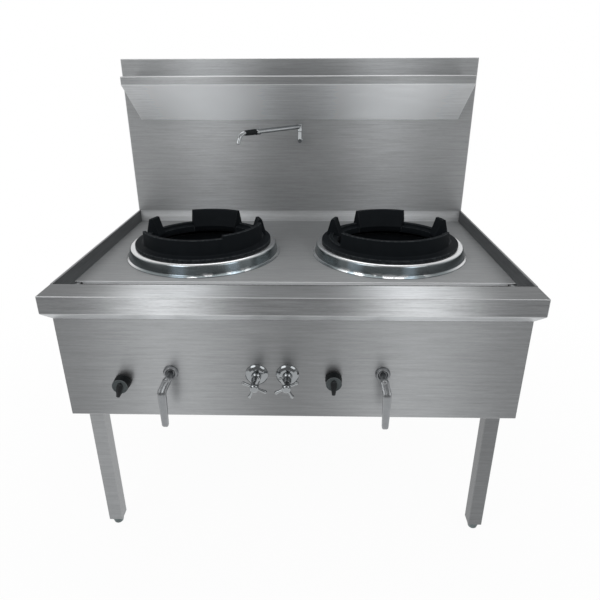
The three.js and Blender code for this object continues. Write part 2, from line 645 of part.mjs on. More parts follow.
function burners() {
  const seat = DECK_TOP + FIT;
  for (const side of SIDES) {
    const [x, y] = [SIGN[side] * BURNER_X, BURNER_Y];
    place(`burner_collar_${side}`, turned(collarProfile(), ROUND), POLISHED, [x, y, seat]);

    const flange = HOLE_RADIUS + POT_FLANGE;
    const lip = seat + POT_FLANGE_THICK;
    const pot = turned(closed([
      [POT_PORT, POT_UNDER], [POT_OUTSIDE, POT_UNDER], [POT_OUTSIDE, seat], [flange, seat],
      [flange, lip], [POT_INSIDE, lip], [POT_INSIDE, POT_FLOOR], [POT_PORT, POT_FLOOR],
    ]), MEDIUM);
    const port = bore([-PILOT_OFFSET, 0, POT_UNDER - 1], [-PILOT_OFFSET, 0, POT_FLOOR + 1],
      PILOT_TUBE + PILOT_PORT_GAP);
    place(`combustion_pot_${side}`, pot.subtract(port), CAST_IRON, [x, y, 0]);

    place(`burner_${side}`, burnerBody(side), CAST_IRON, [x, y, 0]);
    place(`wok_ring_${side}`, wokRing(RINGS[side]), CAST_IRON, [x, y, RING_SEAT]);
  }
}

// A cast burner: a jet head on a round base, with its mixing tube down through
// the pot's floor and forwards to the lever valve.
function burnerBody(side) {
  const base = POT_FLOOR + FIT;
  const foot = POT_PORT + BURNER_LAP;
  const top = base + BURNER_HEAD;
  const r = BURNER_HEAD_RADIUS;
  const head = turned([
    [0, base], [foot, base], [foot, base + BURNER_BASE], [r, base + 2 * BURNER_BASE],
    [r, top - BURNER_BASE], [r - BURNER_BASE, top], [0, top],
  ], MEDIUM);
  const crown = top - JET_TAPER;
  const middleTip = crown + JET_HEIGHT + MIDDLE_JET;
  const jets = [bar([0, 0, crown], [0, 0, middleTip], JET_RADIUS + MIDDLE_JET, JETS, JET_RADIUS)];
  for (let i = 0; i < JETS; i += 1) {
    const angle = (i * Math.PI * 2) / JETS;
    const [c, s] = [Math.cos(angle), Math.sin(angle)];
    const tip = JET_CIRCLE - JET_LEAN;
    jets.push(bar([JET_CIRCLE * c, JET_CIRCLE * s, crown], [tip * c, tip * s, crown + JET_HEIGHT],
      JET_RADIUS, SMALL / 2, JET_RADIUS - JET_TAPER));
  }
  const shift = LEVER_X[side] - SIGN[side] * BURNER_X;
  const valveBack = MANIFOLD_Y + LEVER_VALVE / 2 + FIT - BURNER_Y;
  const bend = valveBack + TUBE_STRAIGHT;
  const z = LEVER_AXIS;
  const tube = pipe([
    [0, 0, base + BURNER_BASE], [0, 0, z], [0, bend + TUBE_SWAY, z], [shift, bend, z], [shift, valveBack, z],
  ], BURNER_TUBE);
  return join([head, ...jets, tube]);
}

// A cast wok ring: a flat flange with a locating lip below, a low wall all
// round, a tall guard at the front and three tapered lugs that carry the wok.
function wokRing({ rear, sides, guard, raised }) {
  const top = RING_FLANGE;
  const outer = RING_RADIUS;
  const inner = RING_INSIDE;
  const spigot = COLLAR_THROAT - RING_CLEARANCE;
  const low = top + RING_LOW_WALL;
  const body = turned(closed([
    [RING_MOUTH, -RING_SPIGOT], [spigot, -RING_SPIGOT], [spigot, 0],
    [RING_FLANGE_RADIUS, 0], [RING_FLANGE_RADIUS, top],
    [outer + RING_BEAD, top], [outer, top + RING_BEAD], [outer, low], [inner, low], [inner, top],
    [RING_MOUTH, top - RING_DISH],
  ]), ROUND);
  const root = top - RING_DISH - 1;
  const wall = (height) => turned(closed([
    [inner, root], [outer, root], [outer, top + height], [inner, top + height],
  ]), ROUND);
  const lug = turned(closed([
    [outer - RING_LUG_FOOT, root], [outer + RING_LUG_SPREAD, root], [outer, top + RING_LUG],
    [outer - RING_LUG_TIP, top + RING_LUG], [outer - RING_LUG_SHOULDER_IN, top + RING_LUG_SHOULDER],
  ]), ROUND);
  const within = [-RING_SPIGOT, top + RING_LUG + RING_GUARD + RING_STEP];
  const beyond = RING_FLANGE_RADIUS + RING_SETBACK;
  const sector = (shape, from, to) => shape.intersect(wedge([from, to], beyond, within));
  const pieces = [body, sector(wall(RING_GUARD), ...guard)];
  if (raised) pieces.push(sector(wall(RING_GUARD + RING_STEP), ...raised));
  pieces.push(sector(lug, rear - REAR_LUG_ARC / 2, rear + REAR_LUG_ARC / 2));
  for (const at of sides) {
    pieces.push(sector(lug, at - SIDE_LUG_ARC / 2, at + SIDE_LUG_ARC / 2));
  }
  return join(pieces);
}

// ---------------------------------------------------------------- gas

// A square valve body on a neck that reaches down to the manifold.
function valve(size, axis, stem) {
  const half = size / 2;
  const neck = bar([0, 0, MANIFOLD_Z + MANIFOLD_RADIUS + FIT - axis], [0, 0, -half / 2], VALVE_NECK);
  const hole = bore([0, -size, 0], [0, size / 4, 0], stem + FIT);
  return block([-half, half], [-half, half], [-half, half]).add(neck).subtract(hole);
}

function gas() {
  const left = KNOB_X.left - MANIFOLD_OVERHANG;
  const at = (x, y) => [x, y, MANIFOLD_Z];
  const inlet = at(GAS_INLET_X, BODY_DEPTH - INLET_GAP);
  const main = pipe([at(left, MANIFOLD_Y), at(GAS_INLET_X, MANIFOLD_Y), inlet], MANIFOLD_RADIUS);
  add('gas_manifold', main, PIPE);

  for (const side of SIDES) {
    const leverValve = valve(LEVER_VALVE, LEVER_AXIS, LEVER_STEM);
    place(`lever_valve_${side}`, leverValve, BRASS, [LEVER_X[side], MANIFOLD_Y, LEVER_AXIS]);
    const x = KNOB_X[side];
    const z = KNOB_AXIS[side];
    place(`pilot_valve_${side}`, valve(PILOT_VALVE, z, SPINDLE_RADIUS), BRASS, [x, MANIFOLD_Y, z]);

    const port = SIGN[side] * BURNER_X - PILOT_OFFSET;
    const back = MANIFOLD_Y + PILOT_VALVE / 2 + FIT;
    const tip = POT_FLOOR + PILOT_RISE;
    const tube = pipe([
      [x, back, z], [x, back + PILOT_STRAIGHT, z], [port, BURNER_Y, z], [port, BURNER_Y, tip],
      [port + PILOT_REACH, BURNER_Y, tip + PILOT_LIFT],
    ], PILOT_TUBE, SMALL / 2);
    add(`pilot_tube_${side}`, tube, COPPER);
  }
}

// ---------------------------------------------------------------- controls

// The pieces below are drawn with the panel's face at y = 0 and their axis
// through the origin; forwards is -y.

function controls() {
  for (const side of SIDES) {
    const knobAt = [KNOB_X[side], RETURN_DEPTH, KNOB_AXIS[side]];
    place(`knob_spindle_${side}`, spindle(), BRASS, knobAt);
    place(`control_knob_${side}`, knob(), BLACK, knobAt, KNOB_TURN[side]);

    const leverAt = [LEVER_X[side], RETURN_DEPTH, LEVER_AXIS];
    place(`lever_flange_${side}`, leverFlange(), DULL_CHROME, leverAt);
    place(`knee_lever_${side}`, kneeLever(LEVER_JOG[side]), DULL_CHROME, leverAt);

    const tapAt = [TAP_X[side], RETURN_DEPTH, TAP_AXIS];
    place(`tap_body_${side}`, tapBody(), CHROME, tapAt);
    place(`tap_escutcheon_${side}`, escutcheon(), CHROME, tapAt);
    place(`tap_handle_${side}`, crossHandle(), CHROME, tapAt, TAP_TURN[side]);
  }
}

const knobFace = KNOB_GAP + KNOB_LENGTH;
const knobBoreEnd = knobFace - KNOB_REST_GAP;

function spindle() {
  const rear = MANIFOLD_Y + SPINDLE_DEPTH - RETURN_DEPTH;
  return bar([0, rear, 0], [0, KNOB_PRESS + SPINDLE_ROOM - knobBoreEnd, 0], SPINDLE_RADIUS);
}

function knob() {
  const back = KNOB_GAP;
  const skirt = back + KNOB_SKIRT;
  const r = KNOB_BODY_RADIUS;
  const body = facing([[0, back], [KNOB_SKIRT_RADIUS, back], [KNOB_SKIRT_RADIUS, skirt],
    [r + KNOB_FILLET, skirt + KNOB_FILLET], [r, knobFace - KNOB_BEVEL], [r - KNOB_BEVEL, knobFace],
    [0, knobFace]], MEDIUM);
  const half = POINTER_WIDTH / 2;
  const tip = POINTER_TIP / 2;
  const pointer = alongY([
    [-half, POINTER_TAIL], [half, POINTER_TAIL], [half, -POINTER_STRAIGHT],
    [tip, -KNOB_POINTER], [-tip, -KNOB_POINTER], [-half, -POINTER_STRAIGHT],
  ], [-knobFace - POINTER_RISE, -skirt]);
  const socket = bore([0, 1, 0], [0, -knobBoreEnd, 0], SPINDLE_RADIUS + FIT);
  return body.add(pointer).subtract(socket);
}

function leverFlange() {
  const hole = LEVER_STEM + SPINDLE_HOLE_GAP;
  const r = LEVER_FLANGE_RADIUS;
  const edge = LEVER_FLANGE_EDGE;
  const crest = r - LEVER_FLANGE_BEVEL;
  return facing(closed([[hole, FIT], [r, FIT], [r, edge], [crest, LEVER_FLANGE],
    [Math.max(crest - LEVER_FLANGE_DISH / 2, hole + 1), LEVER_FLANGE], [hole, edge]]), MEDIUM);
}

// A stem out of the valve, a ball elbow, a slanted bar and a paddle that hangs
// to one side of the stem.
function kneeLever(jog) {
  const stem = bar([0, MANIFOLD_Y - RETURN_DEPTH, 0], [0, -LEVER_REACH, 0], LEVER_STEM);
  const elbow = ball([0, -LEVER_REACH, 0], LEVER_STEM + LEVER_ELBOW);
  const outer = -LEVER_REACH - LEVER_STEP;
  const half = LEVER_THICK / 2;
  const wide = LEVER_WIDTH / 2;
  const low = -LEVER_FALL - LEVER_PADDLE;
  const end = low + LEVER_ROUND;
  const side = alongX([
    [half - LEVER_REACH, LEVER_BEND], [-LEVER_REACH - half, half],
    [outer - half, LEVER_KNEE - LEVER_FALL], [outer - half, end], [outer - half + LEVER_ROUND, low],
    [outer + half - LEVER_ROUND, low], [outer + half, end], [outer + half, -LEVER_FALL - LEVER_BEND],
    [half - LEVER_REACH, -half - LEVER_KNEE / 2],
  ], [-wide - Math.abs(jog), wide + Math.abs(jog)]);
  const narrow = wide - LEVER_TAPER / 2;
  const taper = -LEVER_FALL - LEVER_TAPER_START;
  const front = alongY([
    [-wide, LEVER_THICK], [wide, LEVER_THICK], [jog + wide, -LEVER_FALL], [jog + wide, taper],
    [jog + narrow, end], [jog + narrow - LEVER_ROUND, low], [jog + LEVER_ROUND - narrow, low],
    [jog - narrow, end], [jog - wide, taper], [jog - wide, -LEVER_FALL],
  ], [outer - LEVER_THICK, LEVER_THICK]);
  return join([stem, elbow, side.intersect(front)]);
}

function tapBody() {
  return facing([
    [0, -TAP_BODY_DEPTH], [TAP_RADIUS, -TAP_BODY_DEPTH], [TAP_RADIUS, TAP_BONNET - TAP_BONNET_TAPER],
    [TAP_STEM + TAP_GLAND, TAP_BONNET], [TAP_STEM, TAP_BONNET], [TAP_STEM, TAP_CROSS], [0, TAP_CROSS],
  ], SMALL);
}

function escutcheon() {
  const hole = TAP_RADIUS + FIT;
  const r = ESCUTCHEON_RADIUS;
  const shoulder = r - ESCUTCHEON_SHOULDER;
  const depth = ESCUTCHEON_DEPTH;
  return facing(closed([
    [hole, FIT], [r, FIT], [r, ESCUTCHEON_EDGE], [shoulder, depth - ESCUTCHEON_EDGE],
    [hole + ESCUTCHEON_RIM, depth], [hole, depth],
  ]), SMALL * 2);
}

function crossHandle() {
  const y = -TAP_CROSS;
  const half = TAP_HUB_LENGTH / 2;
  const hub = facing([[0, TAP_CROSS - half], [TAP_HUB_RADIUS, TAP_CROSS - half],
    [TAP_HUB_RADIUS, TAP_CROSS + half - TAP_HUB_BEVEL], [TAP_HUB_RADIUS - TAP_HUB_BEVEL, TAP_CROSS + half],
    [0, TAP_CROSS + half]], SMALL);
  const neck = TAP_SPOKE - TAP_TIP_RADIUS;
  const spokes = [0, 90, 180, 270].flatMap((degrees) => {
    const turn = THREE.MathUtils.degToRad(degrees);
    const tip = [neck * Math.cos(turn), y, neck * Math.sin(turn)];
    return [
      bar([0, y, 0], tip, TAP_SPOKE_RADIUS + 1, SMALL / 2, TAP_SPOKE_RADIUS),
      ball(tip, TAP_TIP_RADIUS, SMALL / 2),
    ];
  });
  const socket = bore([0, half - TAP_CROSS + 1, 0], [0, -TAP_CROSS - 1, 0], TAP_STEM + FIT);
  return join([hub, ...spokes]).subtract(socket);
}

// ---------------------------------------------------------------- water

function water() {
  const back = RETURN_DEPTH + TAP_BODY_DEPTH + FIT;
  const bend = GUTTER_BACK + FEED_REACH;
  add('faucet_water_pipe', pipe([
    [TAP_X.left, back, TAP_AXIS], [TAP_X.left, bend, TAP_AXIS], [FAUCET_X, bend, TAP_AXIS],
    [FAUCET_X, SPLASH_MIDDLE, TAP_AXIS], [FAUCET_X, SPLASH_MIDDLE, FAUCET_FOOT - FAUCET_TUBE - FIT],
  ], WATER_PIPE), COPPER);

  add('gutter_water_pipe', pipe([
    [TAP_X.right, back, TAP_AXIS], [TAP_X.right, GUTTER_MIDDLE, TAP_AXIS],
    [TAP_X.right, GUTTER_MIDDLE, GUTTER_FLOOR + RINSE_RISE],
  ], WATER_PIPE), COPPER);

  const y = RETURN_DEPTH + TAP_BODY_DEPTH / 2;
  const under = TAP_AXIS - TAP_RADIUS - FIT;
  const loop = [
    [TAP_X.left, y, under], [TAP_X.left, y, SUPPLY_Z],
    [TAP_X.right, y, SUPPLY_Z], [TAP_X.right, y, under],
  ];
  const inlet = bar([TAP_MIDDLE, y, SUPPLY_Z], [TAP_MIDDLE, BODY_DEPTH - INLET_GAP, SUPPLY_Z], WATER_PIPE);
  add('water_supply_pipe', pipe(loop, WATER_PIPE).add(inlet), COPPER);
}

// ---------------------------------------------------------------- faucet

function faucet() {
  const [x, y, foot, seam] = [FAUCET_X, FAUCET_Y, FAUCET_FOOT, FAUCET_SEAM];
  const elbow = pipe([[x, SPLASH_MIDDLE + FAUCET_TUBE, foot], [x, y, foot], [x, y, seam]], FAUCET_TUBE);
  const face = SPLASH_FACE - FIT;
  const collar = bar([x, SPLASH_FACE - FAUCET_COLLAR, foot], [x, face, foot], FAUCET_TUBE + FAUCET_COLLAR);
  const pivot = bar([x, y, seam - 1], [x, y, seam + FAUCET_PIVOT_LENGTH], FAUCET_PIVOT);
  add('faucet_riser', join([elbow, collar, pivot]), CHROME);

  // The swinging parts are drawn with the arm along +x from the swivel joint.
  const swing = new THREE.Group();
  swing.position.set(x, y, seam);
  swing.rotation.z = THREE.MathUtils.degToRad(FAUCET_HEADING);
  range.add(swing);
  const z = ARM_RISE;
  const wide = FAUCET_TUBE + FAUCET_HEAD;
  const head = turned([
    [0, FIT], [wide, FIT], [wide, FAUCET_CAP - FAUCET_BEVEL],
    [wide - FAUCET_BEVEL, FAUCET_CAP], [0, FAUCET_CAP],
  ], MEDIUM);
  const socket = bore([0, 0, -1], [0, 0, FAUCET_PIVOT_LENGTH + FIT], FAUCET_PIVOT + FIT);
  const nutEnd = ARM_LENGTH + NUT_LENGTH;
  const arm = bar([0, 0, z], [ARM_LENGTH, 0, z], FAUCET_TUBE);
  const nut = bar([ARM_LENGTH, 0, z], [nutEnd, 0, z], NUT_RADIUS);
  add('faucet_arm', join([head, arm, nut]).subtract(socket), CHROME, swing);

  const gripFrom = nutEnd + FIT;
  const gripTo = gripFrom + GRIP_LENGTH;
  add('faucet_grip', bar([gripFrom, 0, z], [gripTo, 0, z], GRIP_RADIUS, MEDIUM), BLACK, swing);

  const start = gripTo + FIT;
  const route = SPOUT_ROUTE.map(([out, down]) => new THREE.Vector3(start + out, 0, z + down));
  const extrudePath = new THREE.CatmullRomCurve3(route);
  const section = new THREE.Shape().absarc(0, 0, SPOUT_RADIUS, 0, Math.PI * 2);
  const tube = new THREE.ExtrudeGeometry(section, { steps: SMALL, curveSegments: SMALL / 2, extrudePath });
  const tip = route.at(-1);
  const into = extrudePath.getTangent(1);
  const bottom = tip.clone().addScaledVector(into, -SPOUT_MOUTH);
  const beyond = tip.clone().addScaledVector(into, 2);
  add('faucet_spout', solid(tube).subtract(bar(bottom, beyond, FAUCET_BORE)), CHROME, swing);
}

// ---------------------------------------------------------------- assembly

worktop();
deck();
gutter();
casing();
splashback();
shelf();
legs();
burners();
gas();
controls();
water();
faucet();

const leverFront = LEVER_REACH + LEVER_STEP + LEVER_THICK / 2;
const handleFront = TAP_CROSS + TAP_HUB_LENGTH / 2;
range.position.y = (Math.max(leverFront, handleFront) - RETURN_DEPTH - BODY_DEPTH) / 2;

const wokRange = new THREE.Group();
wokRange.add(range);

export default wokRange;
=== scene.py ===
"""A two-burner wok range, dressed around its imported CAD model.

Everything is in metres, in the frame of the CAD model: +X to the operator's
right, +Y to the splashback, +Z up, with the floor at z = 0.
"""

from __future__ import annotations

import json
import logging
import math
from collections.abc import Callable, Iterable, Sequence
from dataclasses import dataclass, field
from enum import Enum

import bmesh
import bpy
from mathutils import Matrix, Vector

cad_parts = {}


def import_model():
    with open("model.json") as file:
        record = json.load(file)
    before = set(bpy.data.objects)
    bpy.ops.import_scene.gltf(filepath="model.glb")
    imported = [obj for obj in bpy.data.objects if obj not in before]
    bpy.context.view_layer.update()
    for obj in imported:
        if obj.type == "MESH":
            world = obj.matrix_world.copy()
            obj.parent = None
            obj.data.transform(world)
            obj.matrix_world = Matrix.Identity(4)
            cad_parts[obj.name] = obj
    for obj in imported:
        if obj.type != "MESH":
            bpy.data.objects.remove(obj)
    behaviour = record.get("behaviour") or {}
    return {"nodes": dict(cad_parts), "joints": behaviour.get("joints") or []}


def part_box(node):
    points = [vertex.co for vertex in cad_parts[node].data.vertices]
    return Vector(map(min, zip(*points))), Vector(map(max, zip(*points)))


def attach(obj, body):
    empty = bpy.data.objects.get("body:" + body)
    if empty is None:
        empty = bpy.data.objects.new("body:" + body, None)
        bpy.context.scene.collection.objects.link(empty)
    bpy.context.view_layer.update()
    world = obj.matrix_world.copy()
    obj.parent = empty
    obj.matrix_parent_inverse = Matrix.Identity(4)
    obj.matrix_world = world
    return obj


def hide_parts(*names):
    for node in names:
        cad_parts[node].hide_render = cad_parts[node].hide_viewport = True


log = logging.getLogger("wok_range")

MM = 0.001
SHEET = 2 * MM  # folded sheet steel
FIT = 0.3 * MM  # gap between touching pieces
MERGE = 0.002 * MM  # points closer than this are one
WHITE = (1.0, 1.0, 1.0, 1.0)

Point = tuple[float, float]
Corner = tuple[float, float, float]  # a point and the radius that rounds it
Colour = tuple[float, float, float]
Piece = bpy.types.Object
Socket = bpy.types.NodeSocket


class Side(Enum):
    """The operator's left or right."""

    LEFT = "left"
    RIGHT = "right"


class Slot(Enum):
    """Material slots of the record."""

    BRUSHED = "brushed_steel"
    POLISHED = "polished_steel"
    CHROME = "chrome"
    DULL_CHROME = "dull_chrome"
    CAST_IRON = "cast_iron"
    BLACK = "black_plastic"
    BRASS = "brass"
    COPPER = "copper"
    PIPE = "pipe_steel"
    FOOT = "foot_steel"


class Grain(Enum):
    """The direction of the brushing, as lines per metre along x, y and z."""

    ALONG_X = (18.0, 440.0, 440.0)
    ALONG_Y = (440.0, 18.0, 440.0)


# ---------------------------------------------------------------- the CAD model


@dataclass
class Model:
    """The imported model, asked for places and sizes."""

    nodes: dict[str, Piece]
    joints: dict[str, dict]

    @classmethod
    def load(cls) -> Model:
        """Loads the frame, with its nodes and joints by name."""
        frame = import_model()
        return cls(frame["nodes"], {joint["name"]: joint for joint in frame["joints"]})

    def low(self, node: str) -> Vector:
        """The lowest corner of a node."""
        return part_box(node)[0]

    def high(self, node: str) -> Vector:
        """The highest corner of a node."""
        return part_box(node)[1]

    def foot(self, node: str) -> Vector:
        """The point under the middle of a node, at its lowest height."""
        low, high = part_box(node)
        return Vector(((low.x + high.x) / 2, (low.y + high.y) / 2, low.z))

    def pivot(self, joint: str) -> Vector:
        """A point on a joint's axis."""
        return Vector(self.joints[joint]["pos_m"])


# ---------------------------------------------------------------- shader nodes


class Wiring:
    """Short ways to add shader nodes to a tree and to join them."""

    def __init__(self, tree: bpy.types.NodeTree) -> None:
        """Takes the tree that the nodes go into."""
        self.tree = tree

    def add(self, kind: str, **values: object) -> bpy.types.Node:
        """Adds a node.

        Args:
            kind: The node's type.
            values: Properties to set on it.

        Returns:
            The node.
        """
        node = self.tree.nodes.new(kind)
        for key, value in values.items():
            setattr(node, key, value)
        return node

    def join(self, source: object, target: Socket) -> None:
        """Links a socket, or writes a plain value into the target.

        Args:
            source: A socket or value.
            target: The input that takes it.
        """
        if isinstance(source, Socket):
            self.tree.links.new(source, target)
        else:
            target.default_value = source

    def math(self, operation: str, first: object, second: object = 0.0, third: object = 0.0) -> Socket:
        """A Math node.

        Args:
            operation: What it works out.
            first: A socket or number.
            second: A socket or number.
            third: A socket or number.

        Returns:
            The result.
        """
        node = self.add("ShaderNodeMath", operation=operation)
        for value, target in zip((first, second, third), node.inputs):
            self.join(value, target)
        return node.outputs["Value"]

    def spread(self, value: object, start: float, end: float, low: float, high: float) -> Socket:
        """Maps a value smoothly and clamped.

        Args:
            value: The value or socket.
            start: Where the change begins.
            end: Where it ends.
            low: The result at the start.
            high: The result at the end.

        Returns:
            The mapped value.
        """
        node = self.add("ShaderNodeMapRange", interpolation_type="SMOOTHSTEP")
        inputs = {"Value": value, "From Min": start, "From Max": end, "To Min": low, "To Max": high}
        for name, source in inputs.items():
            self.join(source, node.inputs[name])
        return node.outputs["Result"]

    def parts(self, vector: Socket) -> bpy.types.NodeOutputs:
        """Takes a vector apart.

        Args:
            vector: The vector's socket.

        Returns:
            Its X, Y and Z, as outputs of those names.
        """
        node = self.add("ShaderNodeSeparateXYZ")
        self.join(vector, node.inputs[0])
        return node.outputs

    def mix(self, factor: object, first: Socket, second: Socket) -> Socket:
        """Mixes two shaders.

        Args:
            factor: 0 for the first shader, 1 for the second.
            first: A shader.
            second: A shader.

        Returns:
            The mixed shader.
        """
        node = self.add("ShaderNodeMixShader")
        for value, target in zip((factor, first, second), node.inputs):
            self.join(value, target)
        return node.outputs[0]


class Shader(Wiring):
    """A material with a Principled shader."""

    def __init__(self, name: str) -> None:
        """Starts a new material.

        Args:
            name: The material's name.
        """
        self.material = bpy.data.materials.new(name)
        self.material.use_nodes = True
        super().__init__(self.material.node_tree)
        self.principled = self.tree.nodes["Principled BSDF"]

    def coordinates(self, scale: Sequence[float] = (1.0, 1.0, 1.0)) -> Socket:
        """Object coordinates, scaled along each axis.

        Args:
            scale: Features per metre along x, y and z.

        Returns:
            The scaled vector.
        """
        mapping = self.add("ShaderNodeMapping")
        mapping.inputs["Scale"].default_value = scale
        self.join(self.add("ShaderNodeTexCoord").outputs["Object"], mapping.inputs["Vector"])
        return mapping.outputs["Vector"]

    def facing(self) -> bpy.types.NodeOutputs:
        """The X, Y and Z of the surface's direction."""
        return self.parts(self.add("ShaderNodeNewGeometry").outputs["Normal"])

    def noise(self, scale: Sequence[float], detail: float = 3.0, rough: float = 0.55) -> Socket:
        """Noise on stretched object coordinates.

        Args:
            scale: Features per metre along x, y and z.
            detail: Octaves of the noise.
            rough: Weight of the fine octaves.

        Returns:
            A value round 0.5.
        """
        node = self.add("ShaderNodeTexNoise")
        inputs = {"Scale": 1.0, "Detail": detail, "Roughness": rough, "Vector": self.coordinates(scale)}
        for name, source in inputs.items():
            self.join(source, node.inputs[name])
        return node.outputs["Fac"]

    def blend(self, factor: object, first: object, second: object) -> Socket:
        """Mixes two colours.

        Args:
            factor: 0 for the first colour, 1 for the second.
            first: A colour or socket.
            second: A colour or socket.

        Returns:
            The mixed colour.
        """
        node = self.add("ShaderNodeMix", data_type="RGBA")
        self.join(factor, node.inputs[0])
        for value, target in ((first, node.inputs[6]), (second, node.inputs[7])):
            self.join(value if isinstance(value, Socket) else (*value, 1.0), target)
        return node.outputs[2]

    def scaled(self, colour: object, factor: object) -> Socket:
        """A colour times a value.

        Args:
            colour: A colour or socket.
            factor: A number or socket.

        Returns:
            The brighter or darker colour.
        """
        node = self.add("ShaderNodeVectorMath", operation="SCALE")
        self.join(colour, node.inputs[0])
        self.join(factor, node.inputs["Scale"])
        return node.outputs["Vector"]

    def worn_and_highlit(self, colour: object, share: object, edge_wear_and_highlight_colour: Colour) -> Socket:
        """A colour that changes on convex edges, as wear and as a painted highlight.

        Args:
            colour: The colour of the flats.
            share: How much an edge shows, as a number or socket.
            edge_wear_and_highlight_colour: The colour of a convex edge, worn and in painted highlight.

        Returns:
            The colour.
        """
        edge = self.add("ShaderNodeAttribute", attribute_name="wear_and_highlight").outputs["Fac"]
        return self.blend(self.math("MULTIPLY", edge, share), colour, edge_wear_and_highlight_colour)

    def bump(self, height: object, distance: float, strength: float) -> None:
        """Raises the surface by a height map.

        Args:
            height: Values round 0.5.
            distance: Depth of a full step, in metres.
            strength: Share of the bump that shows.
        """
        node = self.add("ShaderNodeBump")
        for name, source in {"Strength": strength, "Distance": distance, "Height": height}.items():
            self.join(source, node.inputs[name])
        self.join(node.outputs["Normal"], self.principled.inputs["Normal"])

    def set(self, **values: object) -> None:
        """Sets or links the shader's own sockets, named with underscores."""
        for key, value in values.items():
            self.join(value, self.principled.inputs[key.replace("_", " ")])


# ---------------------------------------------------------------- finishes


@dataclass(frozen=True)
class BrushedSteel:
    """Sheet steel with fine brushing, a painted sheen of light pools that swells and fades along the width,
    and wear with a painted highlight on its convex edges.
    """

    name: str
    tone: float
    painted_sheen: float
    grain: Grain = Grain.ALONG_X
    roughness: float = 0.4
    streak: float = 1.1  # contrast of the brushing
    # share of the edge colour on convex edges: wear, and a painted highlight along the folds
    edge: float = 0.75
    focus: float = 1.0  # above 1 draws the swell together
    metal: float = 1.0
    tint: Colour = (0.975, 1.0, 1.02)
    edge_wear_and_highlight_tint: Colour = (0.72, 0.73, 0.74)
    painted_sheen_pitch: float = 0.6  # from the middle of the range to its end
    slot: Slot = Slot.BRUSHED

    def material(self) -> bpy.types.Material:
        """Builds the material.

        Returns:
            The brushed steel material.
        """
        shader = Shader(self.name)
        streaks = shader.noise([0.4 * s for s in self.grain.value], 3.0, 0.65)
        lines = shader.noise(self.grain.value, 4.0, 0.7)
        hairs = shader.noise([4.0 * s for s in self.grain.value], 2.0, 0.5)
        clouds = shader.noise((2.2, 3.1, 2.7), 2.0, 0.5)
        grain = shader.math("MULTIPLY_ADD", hairs, 0.2, shader.math("MULTIPLY", lines, 0.35))
        grain = shader.math("MULTIPLY_ADD", streaks, 0.45, grain)
        level = shader.math("MULTIPLY_ADD", grain, self.streak, 1.0 - self.streak / 2)
        level = shader.math("MULTIPLY", level, shader.math("MULTIPLY_ADD", clouds, 0.16, 0.92))
        # Painted sheen: pools of light painted into the colour, strongest to each side of the middle of the
        # range along x.
        across = shader.parts(shader.coordinates())["X"]
        wave = shader.math("SINE", shader.math("MULTIPLY", across, math.pi / self.painted_sheen_pitch))
        swell = shader.math("POWER", shader.math("MULTIPLY", wave, wave), self.focus)
        level = shader.math("MULTIPLY", level, shader.math("MULTIPLY_ADD", swell, self.painted_sheen, 1.0))
        flat = shader.scaled(tuple(self.tone * part for part in self.tint), level)
        shader.set(Base_Color=shader.worn_and_highlit(flat, self.edge, self.edge_wear_and_highlight_tint), Metallic=self.metal)
        shader.set(Roughness=shader.math("MULTIPLY_ADD", grain, 0.16, self.roughness - 0.08))
        shader.set(Anisotropic=0.65, Anisotropic_Rotation=0.25)
        self.follow_grain(shader)
        shader.bump(grain, 0.05 * MM, 0.5)
        return shader.material

    def follow_grain(self, shader: Shader) -> None:
        """Lays the shader's tangent along the brushing, or along y on faces that look sideways.

        Args:
            shader: The material that is being built.
        """
        across = shader.math("GREATER_THAN", shader.math("ABSOLUTE", shader.facing()["X"]), 0.7)
        tangent = shader.add("ShaderNodeCombineXYZ")
        shader.join(shader.math("SUBTRACT", 1.0, across), tangent.inputs["X"])
        shader.join(across, tangent.inputs["Y"])
        shader.set(Tangent=tangent.outputs["Vector"])


